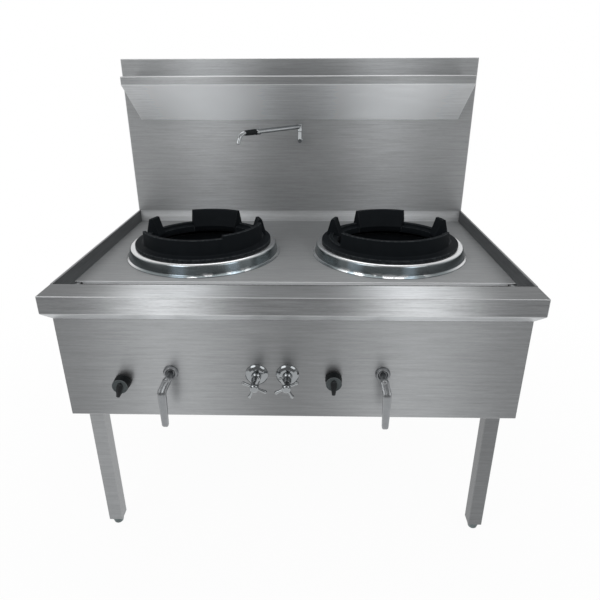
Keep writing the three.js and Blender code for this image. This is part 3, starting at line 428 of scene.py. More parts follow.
@dataclass(frozen=True)
class PolishedSteel:
    """Spun and buffed steel of a round collar, with painted light: cloudy sides in painted shade with
    painted reflection pools and glints, under a crown and lip in painted highlight.
    """

    centre: Point  # the right collar's axis; the left one is its mirror image
    foot: float  # height of the collar's base
    name: str = "polished_steel"
    # The side's colour is painted shade, the pool a painted reflection, the glint painted glints and the
    # crown a painted highlight on what faces up.
    side: Colour = (0.24, 0.27, 0.28)
    painted_pool: Colour = (0.46, 0.55, 0.61)
    painted_glint: Colour = (0.95, 0.96, 0.97)
    crown: Colour = (0.8, 0.81, 0.82)
    roughness: float = 0.24
    painted_pool_angle: float = 0.34  # of the two pools, from the middle, in radians
    aim: float = 0.2  # of that middle, from the front towards the middle of the range
    slot: Slot = Slot.POLISHED

    def material(self) -> bpy.types.Material:
        """Builds the material.

        Returns:
            The polished steel material.
        """
        shader = Shader(self.name)
        wipes = shader.noise((14.0, 9.0, 120.0))
        clouds = shader.noise((22.0, 22.0, 22.0), 2.0)
        at = shader.parts(shader.coordinates())
        # Painted reflection: two pools on the side, one to each side of the front.
        across = shader.math("SUBTRACT", shader.math("ABSOLUTE", at["X"]), self.centre[0])
        forward = shader.math("SUBTRACT", self.centre[1], at["Y"])
        angle = shader.math("ADD", shader.math("ARCTAN2", across, forward), self.aim)
        angle = shader.math("ABSOLUTE", angle)
        off = shader.math("ABSOLUTE", shader.math("SUBTRACT", angle, self.painted_pool_angle))
        painted_pool = shader.spread(shader.math("MULTIPLY_ADD", clouds, 0.1, off), 0.07, 0.19, 1.0, 0.0)
        side = shader.blend(painted_pool, self.side, self.painted_pool)
        side = shader.blend(self.painted_foot_glints(shader, at["Z"], angle), side, self.painted_glint)
        side = shader.scaled(side, shader.math("MULTIPLY_ADD", clouds, 0.3, 0.85))
        # Painted highlight on what faces up, except the front lip, which keeps the side's painted shade.
        facing_up = shader.spread(shader.facing()["Z"], 0.35, 0.85, 0.0, 1.0)
        bright = shader.math("MULTIPLY", facing_up, self.off_front_lip(shader, at["Z"], angle))
        shader.set(Base_Color=shader.blend(bright, side, self.crown), Metallic=1.0)
        shader.set(Roughness=shader.math("MULTIPLY_ADD", wipes, 0.1, self.roughness - 0.05))
        shader.bump(wipes, 0.04 * MM, 0.3)
        return shader.material

    def off_front_lip(self, shader: Shader, height: Socket, angle: Socket) -> Socket:
        """0 on the lip at the front, where it keeps the side's painted shade, and 1 elsewhere.

        Args:
            shader: The material that is being built.
            height: The point's height.
            angle: The point's angle from the front, in radians.

        Returns:
            The share of the painted highlight.
        """
        low = shader.spread(height, self.foot + 6 * MM, self.foot + 10 * MM, 1.0, 0.0)
        front = shader.spread(angle, 0.75, 1.25, 1.0, 0.0)
        return shader.math("SUBTRACT", 1.0, shader.math("MULTIPLY", low, front))

    def painted_foot_glints(self, shader: Shader, height: Socket, angle: Socket) -> Socket:
        """Painted glints: bright blotches low on the front of the side.

        Args:
            shader: The material that is being built.
            height: The point's height.
            angle: The point's angle from the front, in radians.

        Returns:
            How bright the point is, from 0 to 1.
        """
        blotch = shader.spread(shader.noise((26.0, 26.0, 60.0), 2.0), 0.5, 0.6, 0.0, 1.0)
        low = shader.spread(height, self.foot + 5 * MM, self.foot + 14 * MM, 1.0, 0.0)
        front = shader.spread(angle, 0.3, 0.7, 1.0, 0.0)
        return shader.math("MULTIPLY", blotch, shader.math("MULTIPLY", low, front))


@dataclass(frozen=True)
class Chrome:
    """Chrome plate, bright or dulled by use, with a painted mottle of reflection in its colour and smeared
    water marks in its roughness.
    """

    name: str
    colour: Colour
    roughness: float
    smears_and_painted_mottle: float
    # share of the edge colour on convex edges: wear, and a painted highlight
    edge: float
    slot: Slot
    edge_wear_and_highlight_tint: Colour = (0.88, 0.88, 0.88)

    def material(self) -> bpy.types.Material:
        """Builds the material.

        Returns:
            The plated metal material.
        """
        shader = Shader(self.name)
        painted_mottle = shader.noise((90.0, 90.0, 90.0))
        smears = shader.noise((40.0, 40.0, 260.0), 2.0)
        # Painted reflection: the colour mottled lighter and darker, as the chrome's reflections.
        level = shader.math("MULTIPLY_ADD", painted_mottle, self.smears_and_painted_mottle, 1.0 - self.smears_and_painted_mottle / 2)
        colour = shader.worn_and_highlit(shader.scaled(self.colour, level), self.edge, self.edge_wear_and_highlight_tint)
        roughness = shader.math("MULTIPLY_ADD", smears, self.smears_and_painted_mottle * 0.4, self.roughness)
        shader.set(Base_Color=colour, Metallic=1.0, Roughness=roughness)
        shader.bump(smears, 0.02 * MM, 0.3)
        return shader.material


@dataclass(frozen=True)
class CastIron:
    """Black cast iron: a sandy skin with lighter, worn edges."""

    name: str = "cast_iron"
    dark: Colour = (0.0055, 0.0075, 0.0095)
    light: Colour = (0.011, 0.0135, 0.016)
    edge: Colour = (0.05, 0.056, 0.06)
    slot: Slot = Slot.CAST_IRON

    def material(self) -> bpy.types.Material:
        """Builds the material.

        Returns:
            The cast iron material.
        """
        shader = Shader(self.name)
        sand = shader.noise((900.0, 900.0, 900.0), 2.0)
        blotches = shader.noise((30.0, 30.0, 30.0), 4.0)
        chips = shader.spread(shader.noise((160.0, 160.0, 160.0)), 0.42, 0.62, 0.25, 1.0)
        skin = shader.blend(blotches, self.dark, self.light)
        shader.set(Base_Color=shader.worn_and_highlit(skin, chips, self.edge), Specular_IOR_Level=0.07)
        shader.set(Roughness=shader.math("MULTIPLY_ADD", blotches, 0.2, 0.55))
        relief = shader.math("MULTIPLY_ADD", blotches, 0.6, shader.math("MULTIPLY", sand, 0.4))
        shader.bump(relief, 0.5 * MM, 0.5)
        return shader.material


@dataclass(frozen=True)
class MouldedBlack:
    """Black moulded plastic with a fine spark-eroded skin, and edges lightened as rubbing and as a painted
    highlight along the ridges.
    """

    name: str = "moulded_black"
    colour: Colour = (0.009, 0.011, 0.012)
    edge: Colour = (0.035, 0.039, 0.041)
    slot: Slot = Slot.BLACK

    def material(self) -> bpy.types.Material:
        """Builds the material.

        Returns:
            The plastic material.
        """
        shader = Shader(self.name)
        skin = shader.noise((1400.0, 1400.0, 1400.0), 2.0)
        grease = shader.noise((60.0, 60.0, 60.0))
        colour = shader.scaled(self.colour, shader.math("MULTIPLY_ADD", grease, 0.7, 0.65))
        shader.set(Base_Color=shader.worn_and_highlit(colour, 0.6, self.edge), Specular_IOR_Level=0.12)
        shader.set(Roughness=shader.math("MULTIPLY_ADD", grease, 0.2, 0.3))
        shader.bump(skin, 0.06 * MM, 0.4)
        return shader.material


@dataclass(frozen=True)
class WorkshopMetal:
    """Plain fittings metal: brass, copper, pipe or foot, with stains."""

    name: str
    colour: Colour
    stain: Colour
    roughness: float
    slot: Slot

    def material(self) -> bpy.types.Material:
        """Builds the material.

        Returns:
            The fittings material.
        """
        shader = Shader(self.name)
        stains = shader.spread(shader.noise((45.0, 45.0, 45.0), 4.0, 0.6), 0.4, 0.75, 0.0, 0.8)
        drawn = shader.noise((300.0, 300.0, 300.0), 2.0)
        shader.set(Base_Color=shader.blend(stains, self.colour, self.stain), Metallic=1.0)
        shader.set(Roughness=shader.math("MULTIPLY_ADD", stains, 0.25, self.roughness))
        shader.bump(drawn, 0.05 * MM, 0.4)
        return shader.material


Finish = BrushedSteel | PolishedSteel | Chrome | CastIron | MouldedBlack | WorkshopMetal


class FinishRack:
    """Every finish of the range, built once."""

    def __init__(self) -> None:
        """Starts with no material built."""
        self.built: dict[Finish, bpy.types.Material] = {}

    def material(self, finish: Finish) -> bpy.types.Material:
        """The material of a finish, built at its first use.

        Args:
            finish: One of the finishes.

        Returns:
            Its material.
        """
        if finish not in self.built:
            self.built[finish] = finish.material()
        return self.built[finish]


RIM_STEEL = BrushedSteel("rim_steel", tone=0.21, painted_sheen=2.6, streak=1.7, focus=2.0)
# Painted highlight: the slanted fold under the front rim's fascia, lighter than the rim.
FOLD_HIGHLIGHT_STEEL = BrushedSteel("fold_highlight_steel", tone=0.56, painted_sheen=0.5)
DECK_STEEL = BrushedSteel("deck_steel", tone=0.28, painted_sheen=0.25, roughness=0.52, metal=0.1)
# Painted light: the deck's rear upstand band, lighter than the deck.
LIT_BAND_STEEL = BrushedSteel("lit_band_steel", tone=0.47, painted_sheen=0.8, focus=1.5, roughness=0.52, metal=0.3)
# Painted highlight: the deck's front lip, near white.
LIP_HIGHLIGHT_STEEL = BrushedSteel("lip_highlight_steel", tone=0.95, painted_sheen=0.1, roughness=0.45, metal=0.15)
# Painted shade: the inward faces of the side upstands, a little darker than the sides.
SHADED_UPSTAND_STEEL = BrushedSteel("shaded_upstand_steel", tone=0.23, painted_sheen=0.0, grain=Grain.ALONG_Y, roughness=0.55)
# Painted shade: the front gutter, dark as the deep gap under the deck's lip.
SHADED_GUTTER_STEEL = BrushedSteel("shaded_gutter_steel", tone=0.1, painted_sheen=0.1, roughness=0.55, edge=0.2)
PANEL_STEEL = BrushedSteel("panel_steel", tone=0.24, painted_sheen=0.75)
SPLASH_STEEL = BrushedSteel("splash_steel", tone=0.35, painted_sheen=0.75, focus=1.5, metal=0.4)
SHELF_STEEL = BrushedSteel("shelf_steel", tone=0.33, painted_sheen=0.8, focus=1.5)
# Painted light: the shelf's slanted underside, much lighter than the shelf above it.
LIT_UNDERSHELF_STEEL = BrushedSteel("lit_undershelf_steel", tone=0.7, painted_sheen=1.2, metal=0.1)
SIDE_STEEL = BrushedSteel("side_steel", tone=0.25, painted_sheen=0.2, grain=Grain.ALONG_Y)
# Lit and shaded copies of one steel: the left legs lighter, the right legs darker in painted shade.
LEG_STEEL = BrushedSteel("leg_steel", tone=0.33, painted_sheen=0.1, edge=0.08)
SHADED_LEG_STEEL = BrushedSteel("shaded_leg_steel", tone=0.2, painted_sheen=0.1, edge=0.08)
HIDDEN_STEEL = BrushedSteel("hidden_steel", tone=0.2, painted_sheen=0.1, edge=0.3)
CHROME = Chrome("chrome_plate", (0.42, 0.44, 0.45), 0.1, 0.15, 0.1, Slot.CHROME)
# Painted shade: the taps' chrome, a darker copy of the same plating for the grey that they reflect.
TAP_CHROME = Chrome("tap_chrome", (0.3, 0.315, 0.325), 0.08, 0.2, 0.08, Slot.CHROME)
DULL_CHROME = Chrome("dull_chrome", (0.27, 0.28, 0.29), 0.28, 0.3, 0.12, Slot.DULL_CHROME)
IRON = CastIron()
BLACK = MouldedBlack()
KNOB_FACE = MouldedBlack("knob_face", colour=(0.075, 0.087, 0.09), edge=(0.16, 0.17, 0.175))
BRASS = WorkshopMetal("brass", (0.5, 0.33, 0.11), (0.2, 0.11, 0.04), 0.3, Slot.BRASS)
COPPER = WorkshopMetal("copper", (0.52, 0.22, 0.11), (0.2, 0.08, 0.05), 0.3, Slot.COPPER)
PIPE = WorkshopMetal("pipe_steel", (0.24, 0.25, 0.26), (0.12, 0.1, 0.09), 0.4, Slot.PIPE)
FOOT = WorkshopMetal("foot_steel", (0.13, 0.16, 0.165), (0.07, 0.08, 0.08), 0.35, Slot.FOOT)


# ---------------------------------------------------------------- outlines


def rounded(corners: Sequence[Corner], steps: int = 4) -> list[Point]:
    """A closed outline with rounded corners.

    Args:
        corners: The sharp outline, each corner with its radius, 0 for a sharp one.
        steps: Edges of each rounded corner.

    Returns:
        The outline, with steps + 1 points at each corner.
    """
    outline: list[Point] = []
    count = len(corners)
    for i, (x, y, radius) in enumerate(corners):
        at = Vector((x, y))
        before = Vector(corners[i - 1][:2]) - at
        after = Vector(corners[(i + 1) % count][:2]) - at
        half = before.angle(after, 0.0) / 2
        if radius == 0 or half < 0.01 or half > math.pi / 2 - 0.01:
            outline.extend([(x, y)] * (steps + 1))
            continue
        reach = min(radius / math.tan(half), 0.49 * before.length, 0.49 * after.length)
        start, end = at + before.normalized() * reach, at + after.normalized() * reach
        centre = at + (before.normalized() + after.normalized()).normalized() * (reach / math.cos(half))
        first, last = start - centre, end - centre
        for k in range(steps + 1):
            spoke = first.slerp(last, k / steps).normalized()
            outline.append(tuple(centre + spoke * first.length))
    return outline


def ball_outline(height: float, radius: float, degrees: Iterable[int]) -> list[Point]:
    """Points on the outline of a ball on the z axis.

    Args:
        height: The height of the ball's middle.
        radius: The ball's radius.
        degrees: The points' angles above its middle.

    Returns:
        The radius and height of each point.
    """
    turns = [math.radians(angle) for angle in degrees]
    return [(max(0.0, radius * math.cos(turn)), height + radius * math.sin(turn)) for turn in turns]


def spun(profile: Iterable[Point], angle: float, place: Matrix) -> list[Vector]:
    """A profile of radius and height, turned by an angle about z and put in place."""
    c, s = math.cos(angle), math.sin(angle)
    return [place @ Vector((r * c, r * s, h)) for r, h in profile]


def smooth_line(corners: Sequence[Vector], steps: int) -> list[Vector]:
    """A Catmull-Rom line through points.

    Args:
        corners: The points.
        steps: Points of the line for each stretch.

    Returns:
        The line.
    """
    ends = [2 * corners[0] - corners[1], *corners, 2 * corners[-1] - corners[-2]]
    line = []
    for a, b, c, d in zip(ends, ends[1:], ends[2:], ends[3:]):
        for k in range(steps):
            t = k / steps
            bend = (2 * a - 5 * b + 4 * c - d) * t ** 2 + (3 * b - a - 3 * c + d) * t ** 3
            line.append(0.5 * (2 * b + (c - a) * t + bend))
    return [*line, corners[-1].copy()]


def circle_across(centre: Vector, run: Vector, radius: float, steps: int = 36) -> list[Vector]:
    """A circle square to a direction in the xz plane.

    Args:
        centre: The circle's centre.
        run: The direction.
        radius: The circle's radius.
        steps: The number of its points.

    Returns:
        The points.
    """
    across = Vector((0, 1, 0))
    lift = run.cross(across).normalized()
    turns = [2 * math.pi * k / steps for k in range(steps)]
    return [centre + radius * (math.cos(turn) * across + math.sin(turn) * lift) for turn in turns]


# ---------------------------------------------------------------- meshes


def mark_wear_and_highlight(bm: bmesh.types.BMesh, low: float = 8.0, high: float = 24.0) -> None:
    """Writes to each vertex how much of a convex edge it is.

    A vertex from which a broad face or a long smooth edge leads away gets none, so that the
    edge wear and the painted edge highlight stay on the rounding and don't run across the flats.

    Args:
        bm: The mesh.
        low: Turn of the surface in degrees at which wear starts.
        high: Turn at which it is full.
    """
    layer = bm.verts.layers.float.get("wear_and_highlight") or bm.verts.layers.float.new("wear_and_highlight")
    broad, long = 6 * MM, 5 * MM
    flats = {face for face in bm.faces
             if face.calc_area() > broad * max(edge.calc_length() for edge in face.edges)}
    for vert in bm.verts:
        turns = {edge: math.degrees(edge.calc_face_angle_signed(0.0))
                 for edge in vert.link_edges if len(edge.link_faces) == 2}
        turn = max(turns.values(), default=0.0)
        leads_away = any(abs(t) < low and edge.calc_length() > long for edge, t in turns.items())
        if leads_away or any(face in flats for face in vert.link_faces):
            turn = 0.0
        vert[layer] = min(1.0, max(0.0, (turn - low) / (high - low)))


def linked(name: str, data: bpy.types.ID) -> Piece:
    """Puts a new object in the scene, at the origin.

    Args:
        name: The object's name.
        data: Its mesh, camera or lamp.

    Returns:
        The object.
    """
    obj = bpy.data.objects.new(name, data)
    bpy.context.scene.collection.objects.link(obj)
    return obj


def mesh_object(name: str, bm: bmesh.types.BMesh, sharp: float = 35.0) -> Piece:
    """Turns a bmesh into a smooth-shaded object with its edge wear and painted edge highlight marked.

    Args:
        name: The piece's name.
        bm: The mesh, freed here.
        sharp: Edges that turn by more degrees than this stay sharp.

    Returns:
        The object, at the origin.
    """
    mark_wear_and_highlight(bm)
    mesh = bpy.data.meshes.new(name)
    bm.to_mesh(mesh)
    bm.free()
    mesh.shade_smooth()
    mesh.set_sharp_from_angle(angle=math.radians(sharp))
    return linked(name, mesh)


def clean(bm: bmesh.types.BMesh) -> None:
    """Merges doubles, drops degenerate faces and turns faces outwards.

    Args:
        bm: The mesh.
    """
    bmesh.ops.remove_doubles(bm, verts=bm.verts, dist=MERGE)
    bmesh.ops.dissolve_degenerate(bm, dist=MERGE, edges=bm.edges)
    bmesh.ops.recalc_face_normals(bm, faces=bm.faces)


def loft(name: str, sections: Sequence[Sequence[Vector]], ring: bool = False) -> Piece:
    """Skins closed sections one after another.

    Args:
        name: The piece's name.
        sections: Rows of points, all with the same count.
        ring: True to join the last section to the first, False to cap both ends.

    Returns:
        The object.
    """
    bm = bmesh.new()
    rows = [[bm.verts.new(point) for point in section] for section in sections]
    count = len(sections[0])
    pairs = list(zip(rows, rows[1:])) + ([(rows[-1], rows[0])] if ring else [])
    for first, second in pairs:
        for j in range(count):
            k = (j + 1) % count
            bm.faces.new((first[j], first[k], second[k], second[j]))
    if not ring:
        bm.faces.new(rows[0])
        bm.faces.new(rows[-1])
    clean(bm)
    return mesh_object(name, bm)


def lathe(name: str, profile: Sequence[Point], place: Matrix, segments: int = 48) -> Piece:
    """Turns a closed profile of radius and height about the z axis.

    Args:
        name: The piece's name.
        profile: Points as radius and height.
        place: Where the turned piece goes.
        segments: Facets round the axis.

    Returns:
        The object.
    """
    sections = [spun(profile, 2 * math.pi * i / segments, place) for i in range(segments)]
    return loft(name, sections, ring=True)


def facing_front(at: Vector, turn: float = 0.0) -> Matrix:
    """A place on the front panel, with the z axis out of it.

    Args:
        at: The point on the panel.
        turn: Degrees clockwise, seen from the front.

    Returns:
        The matrix that places a piece drawn about z.
    """
    turned = Matrix.Rotation(math.radians(turn), 4, "Y") @ Matrix.Rotation(math.pi / 2, 4, "X")
    return Matrix.Translation(at) @ turned


def joined(name: str, parts: Iterable[Piece]) -> Piece:
    """Makes one object of several, and deletes them.

    Args:
        name: The name of the whole.
        parts: Objects at the origin.

    Returns:
        The joined object.
    """
    whole = bmesh.new()
    for part in parts:
        whole.from_mesh(part.data)
        bpy.data.objects.remove(part)
    return mesh_object(name, whole)


def merged_copy(node: Piece) -> bmesh.types.BMesh:
    """A copy of a CAD mesh with its triangles merged and its flat faces whole.

    Args:
        node: The CAD object, left as it is.

    Returns:
        The copy as a bmesh.
    """
    bm = bmesh.new()
    bm.from_mesh(node.data)
    for layer in list(bm.loops.layers.float_vector.values()):
        bm.loops.layers.float_vector.remove(layer)
    clean(bm)
    bmesh.ops.dissolve_limit(bm, angle_limit=math.radians(0.4), verts=bm.verts, edges=bm.edges)
    return bm


def is_fold(edge: bmesh.types.BMEdge) -> bool:
    """Tells a fold of the sheet from its cut edges.

    Args:
        edge: An edge of a merged CAD mesh.

    Returns:
        True for a long convex edge between two broad faces.
    """
    if len(edge.link_faces) != 2 or edge.calc_length() < 10 * SHEET:
        return False
    widths = [2 * face.calc_area() / face.calc_perimeter() for face in edge.link_faces]
    return min(widths) > 3 * SHEET and edge.calc_face_angle_signed(0.0) > math.radians(20)


def folded_sheet(name: str, node: Piece, fold: float) -> Piece:
    """Sheet metal from a CAD node, with round folds between its broad faces.

    Args:
        name: The piece's name.
        node: The CAD object that holds the shape.
        fold: Outer radius of the folds.

    Returns:
        The object, with a modifier that keeps its flats flat.
    """
    bm = merged_copy(node)
    folds = [edge for edge in bm.edges if is_fold(edge)]
    if folds:
        bmesh.ops.bevel(bm, geom=folds, offset=fold, segments=4, profile=0.5, affect="EDGES",
                        clamp_overlap=True)
    bmesh.ops.connect_verts_concave(bm, faces=bm.faces)
    obj = mesh_object(name, bm, 32.0)
    obj.modifiers.new("flat_faces", "WEIGHTED_NORMAL").keep_sharp = True
    return obj


# ---------------------------------------------------------------- geometry trees


class Tree:
    """A Geometry Nodes tree with named inputs, ended by Realize Instances and Set Material."""

    def __init__(self, name: str, inputs: dict[str, float | int]) -> None:
        """Starts the tree.

        Args:
            name: The tree's name.
            inputs: The numbers that it takes, with their usual values.
        """
        self.group = bpy.data.node_groups.new(name, "GeometryNodeTree")
        face = self.group.interface
        face.new_socket("Geometry", in_out="INPUT", socket_type="NodeSocketGeometry")
        for label, value in inputs.items():
            kind = "NodeSocketInt" if isinstance(value, int) else "NodeSocketFloat"
            face.new_socket(label, in_out="INPUT", socket_type=kind).default_value = value
        face.new_socket("Material", in_out="INPUT", socket_type="NodeSocketMaterial")
        face.new_socket("Geometry", in_out="OUTPUT", socket_type="NodeSocketGeometry")
        self.start = self.add("NodeGroupInput")

    def join(self, source: object, target: Socket) -> None:
        """Links a socket, or writes a plain value into the target.

        Args:
            source: A socket or value.
            target: The input that takes it.
        """
        if isinstance(source, Socket):
            self.group.links.new(source, target)
        else:
            target.default_value = source

    def add(self, kind: str, **links: object) -> bpy.types.Node:
        """Adds a node and feeds its inputs.

        Args:
            kind: The node's type.
            links: Sockets or values, by input name with underscores.

        Returns:
            The node.
        """
        node = self.group.nodes.new(kind)
        for label, value in links.items():
            self.join(value, node.inputs[label.replace("_", " ")])
        return node

    def math(self, operation: str, *values: object) -> Socket:
        """A Math node.

        Args:
            operation: What it works out.
            values: Sockets or numbers.

        Returns:
            The result.
        """
        node = self.add("ShaderNodeMath")
        node.operation = operation
        for value, target in zip(values, node.inputs):
            self.join(value, target)
        return node.outputs[0]

    def given(self, label: str) -> Socket:
        """One of the tree's own inputs."""
        return self.start.outputs[label]

    def end(self, geometry: Socket) -> None:
        """Realizes the instances, smooths and dresses them, and closes the tree.

        Args:
            geometry: What the tree has made.
        """
        real = self.add("GeometryNodeRealizeInstances", Geometry=geometry)
        smooth = self.add("GeometryNodeSetShadeSmooth", Geometry=real.outputs[0])
        dressed = self.add("GeometryNodeSetMaterial", Geometry=smooth.outputs[0],
                           Material=self.given("Material"))
        output = self.group.nodes.new("NodeGroupOutput")
        self.group.links.new(dressed.outputs[0], output.inputs[0])

    def run(self, obj: Piece, material: bpy.types.Material, **values: float | int) -> None:
        """Runs the tree on an object and keeps the result as its plain mesh.

        Args:
            obj: The object whose mesh goes in, left without the modifier.
            material: The material of the result.
            values: The tree's inputs, by name with underscores.
        """
        modifier = obj.modifiers.new(self.group.name, "NODES")
        modifier.node_group = self.group
        items = self.group.interface.items_tree
        sockets = {item.name: item.identifier for item in items if item.in_out == "INPUT"}
        modifier[sockets["Material"]] = material
        for label, value in values.items():
            modifier[sockets[label.replace("_", " ")]] = value
        seen = obj.evaluated_get(bpy.context.evaluated_depsgraph_get())
        mesh = bpy.data.meshes.new_from_object(seen)
        obj.modifiers.clear()
        obj.data = mesh


def copies_tree() -> Tree:
    """A tree that repeats a piece round the z axis.

    Returns:
        The tree, with the inputs Count and Turn.
    """
    tree = Tree("copies_round_axis", {"Count": 8, "Turn": 0.0})
    points = tree.add("GeometryNodePoints", Count=tree.given("Count"))
    index = tree.add("GeometryNodeInputIndex").outputs[0]
    share = tree.math("DIVIDE", index, tree.given("Count"))
    angle = tree.math("MULTIPLY_ADD", share, 2 * math.pi, tree.given("Turn"))
    turn = tree.add("ShaderNodeCombineXYZ", Z=angle)
    copies = tree.add("GeometryNodeInstanceOnPoints", Points=points.outputs[0],
                      Instance=tree.given("Geometry"), Rotation=turn.outputs[0])
    tree.end(copies.outputs[0])
    return tree


def pipe_tree() -> Tree:
    """A tree that lays a round pipe with bent corners along a line of edges.

    Returns:
        The tree, with the inputs Radius, Bend and Sides.
    """
    tree = Tree("pipe_along_line", {"Radius": 0.01, "Bend": 0.02, "Sides": 32})
    line = tree.add("GeometryNodeMeshToCurve", Mesh=tree.given("Geometry"))
    bends = tree.add("GeometryNodeFilletCurve", Curve=line.outputs[0], Radius=tree.given("Bend"),
                     Limit_Radius=True)
    bends.mode = "POLY"
    bends.inputs["Count"].default_value = 10
    section = tree.add("GeometryNodeCurvePrimitiveCircle", Resolution=tree.given("Sides"),
                       Radius=tree.given("Radius"))
    tube = tree.add("GeometryNodeCurveToMesh", Curve=bends.outputs[0], Profile_Curve=section.outputs[0],
                    Fill_Caps=True)
    tree.end(tube.outputs[0])
    return tree


# ---------------------------------------------------------------- assemblies


@dataclass
class Bench:
    """What every sub-assembly works with."""

    model: Model
    rack: FinishRack
    copies: Tree = field(default_factory=copies_tree)
    pipes: Tree = field(default_factory=pipe_tree)

    def dress(self, obj: Piece, finish: Finish, body: str, node: str) -> Piece:
        """Gives a piece its finish and its place among the moving bodies.

        Args:
            obj: The piece.
            finish: Its finish.
            body: The CAD body that it rides on.
            node: The CAD node that it stands for.

        Returns:
            The piece.
        """
        obj.data.materials.clear()
        obj.data.materials.append(self.rack.material(finish))
        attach(obj, body)
        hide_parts(node)
        log.info("%s rides on %s and stands for %s", obj.name, body, node)
        return obj

    def accent(self, obj: Piece, finish: Finish, picks: Callable[[bpy.types.MeshPolygon], bool]) -> None:
        """Gives some faces of a dressed piece another finish.

        Args:
            obj: The piece.
            finish: The other finish.
            picks: True for a face that takes it.
        """
        index = len(obj.data.materials)
        obj.data.materials.append(self.rack.material(finish))
        for face in obj.data.polygons:
            if picks(face):
                face.material_index = index

    def folded(self, name: str, finish: Finish, node: str, fold: float) -> Piece:
        """Dresses a fixed CAD node as folded sheet, tube or casting.

        Args:
            name: The piece's name.
            finish: Its finish.
            node: The CAD node.
            fold: Outer radius of its folds.

        Returns:
            The piece.
        """
        return self.dress(folded_sheet(name, self.model.nodes[node], fold), finish, "root", node)

    def pipe(self, name: str, finish: Finish, route: Sequence[Vector], radius: float, bend: float) -> Piece:
        """A round pipe with bent corners.

        Args:
            name: The piece's name.
            finish: Its finish.
            route: The corners of its middle line.
            radius: Outer radius of the pipe.
            bend: Radius of the middle line at a corner.

        Returns:
            The pipe.
        """
        mesh = bpy.data.meshes.new(name)
        mesh.from_pydata([tuple(point) for point in route], [(i, i + 1) for i in range(len(route) - 1)], [])
        obj = linked(name, mesh)
        self.pipes.run(obj, self.rack.material(finish), Radius=radius, Bend=bend)
        obj.data.set_sharp_from_angle(angle=math.radians(40))
        return obj

    def repeat(self, item: Piece, finish: Finish, count: int, place: Matrix) -> Piece:
        """Repeats a piece round the z axis and puts the result in place.

        Args:
            item: One copy, drawn in its place about the z axis.
            finish: Its finish.
            count: The number of copies.
            place: Where the z axis goes.

        Returns:
            The copies as one object.
        """
        self.copies.run(item, self.rack.material(finish), Count=count)
        item.data.transform(place)
        return item


@dataclass
class Sheetwork:
    """The worktop, casing, splashback and shelf: everything folded from sheet."""

    bench: Bench
    fold: float = 2.4 * MM
    deck_fold: float = 4.5 * MM
    plain: dict[str, Finish] = field(default_factory=lambda: {
        "front_panel": PANEL_STEEL, "back_panel": SIDE_STEEL, "splashback_skin": SPLASH_STEEL,
        "splashback_cover": SIDE_STEEL, "side_panel_left": SIDE_STEEL, "side_panel_right": SIDE_STEEL,
        "front_gutter": SHADED_GUTTER_STEEL})

    def build(self) -> None:
        """Builds every folded sheet."""
        for node, finish in self.plain.items():
            self.sheet(node, finish, self.fold)
        self.worktop()
        shelf = self.sheet("shelf", SHELF_STEEL, self.fold)
        # The shelf's underside takes painted light.
        self.bench.accent(shelf, LIT_UNDERSHELF_STEEL, lambda face: face.normal.z < -0.3)

    def sheet(self, node: str, finish: Finish, fold: float) -> Piece:
        """Dresses one sheet node."""
        return self.bench.folded(f"{node}_sheet", finish, node, fold)

    def worktop(self) -> None:
        """The rims and the deck, with a painted highlight on the fold and lip, painted light on the deck's
        rear band and painted shade on the upstands.
        """
        rim = self.sheet("front_rim", RIM_STEEL, self.fold)
        self.bench.accent(rim, FOLD_HIGHLIGHT_STEEL, lambda face: face.normal.z < -0.5 and face.normal.y < -0.5)
        deck = self.sheet("deck_plate", DECK_STEEL, self.deck_fold)
        low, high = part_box("deck_plate")
        lip, band = low.y + 3 * SHEET, high.y - 5 * SHEET
        self.bench.accent(deck, LIP_HIGHLIGHT_STEEL, lambda face: face.normal.y < -0.1 and face.center.y < lip)
        self.bench.accent(deck, LIT_BAND_STEEL, lambda face: face.normal.y < -0.7 and face.center.y > band)
        for side in Side:
            edge = self.sheet(f"side_rim_{side.value}", SIDE_STEEL, self.fold)
            self.bench.accent(edge, SHADED_UPSTAND_STEEL, lambda face: face.normal.x * face.center.x < -0.3)


@dataclass
class Understructure:
    """Square legs, adjustable feet and the two frame rails."""

    bench: Bench
    tube_corner: float = 2.5 * MM
    foot_radius: float = 17 * MM
    foot_height: float = 25 * MM
    foot_band: float = 6 * MM
    tip_radius: float = 10 * MM
    stem_corner: float = 2 * MM

    def build(self) -> None:
        """Builds the legs, feet and rails."""
        for end in ("front", "rear"):
            for side in Side:
                node = f"leg_{end}_{side.value}"
                # Painted light: the left legs lit, the right legs in painted shade.
                finish = LEG_STEEL if side is Side.LEFT else SHADED_LEG_STEEL
                self.bench.folded(f"{node}_tube", finish, node, self.tube_corner)
                self.foot(end, side)
            node = f"frame_rail_{end}"
            self.bench.folded(f"{node}_tube", HIDDEN_STEEL, node, self.tube_corner)

    def foot(self, end: str, side: Side) -> None:
        """A bullet foot with a square stem up into its leg.

        Args:
            end: Front or rear.
            side: Left or right.
        """
        node = f"foot_{end}_{side.value}"
        base = self.bench.model.foot(node)
        place = Matrix.Translation(base)
        top = self.foot_height - FIT
        bullet = lathe(f"{node}_bullet", rounded([
            (0, 0, 0), (self.tip_radius, 0, 1 * MM), (self.tip_radius + 3 * MM, 3 * MM, 4 * MM),
            (self.foot_radius, top - self.foot_band, 6 * MM), (self.foot_radius, top, 0.8 * MM),
            (0, top, 0)]), place)
        half = 0.9 * self.foot_radius
        square = rounded([(x * half, y * half, self.stem_corner)
                          for x, y in ((-1, -1), (1, -1), (1, 1), (-1, 1))])
        ends = (top - 1 * MM, self.bench.model.high(node).z - base.z)
        stem = loft(f"{node}_stem", [[place @ Vector((x, y, z)) for x, y in square] for z in ends])
        obj = joined(f"{node}_turned", (bullet, stem))
        self.bench.dress(obj, FOOT, f"foot_{end[0]}{side.value[0]}", node)


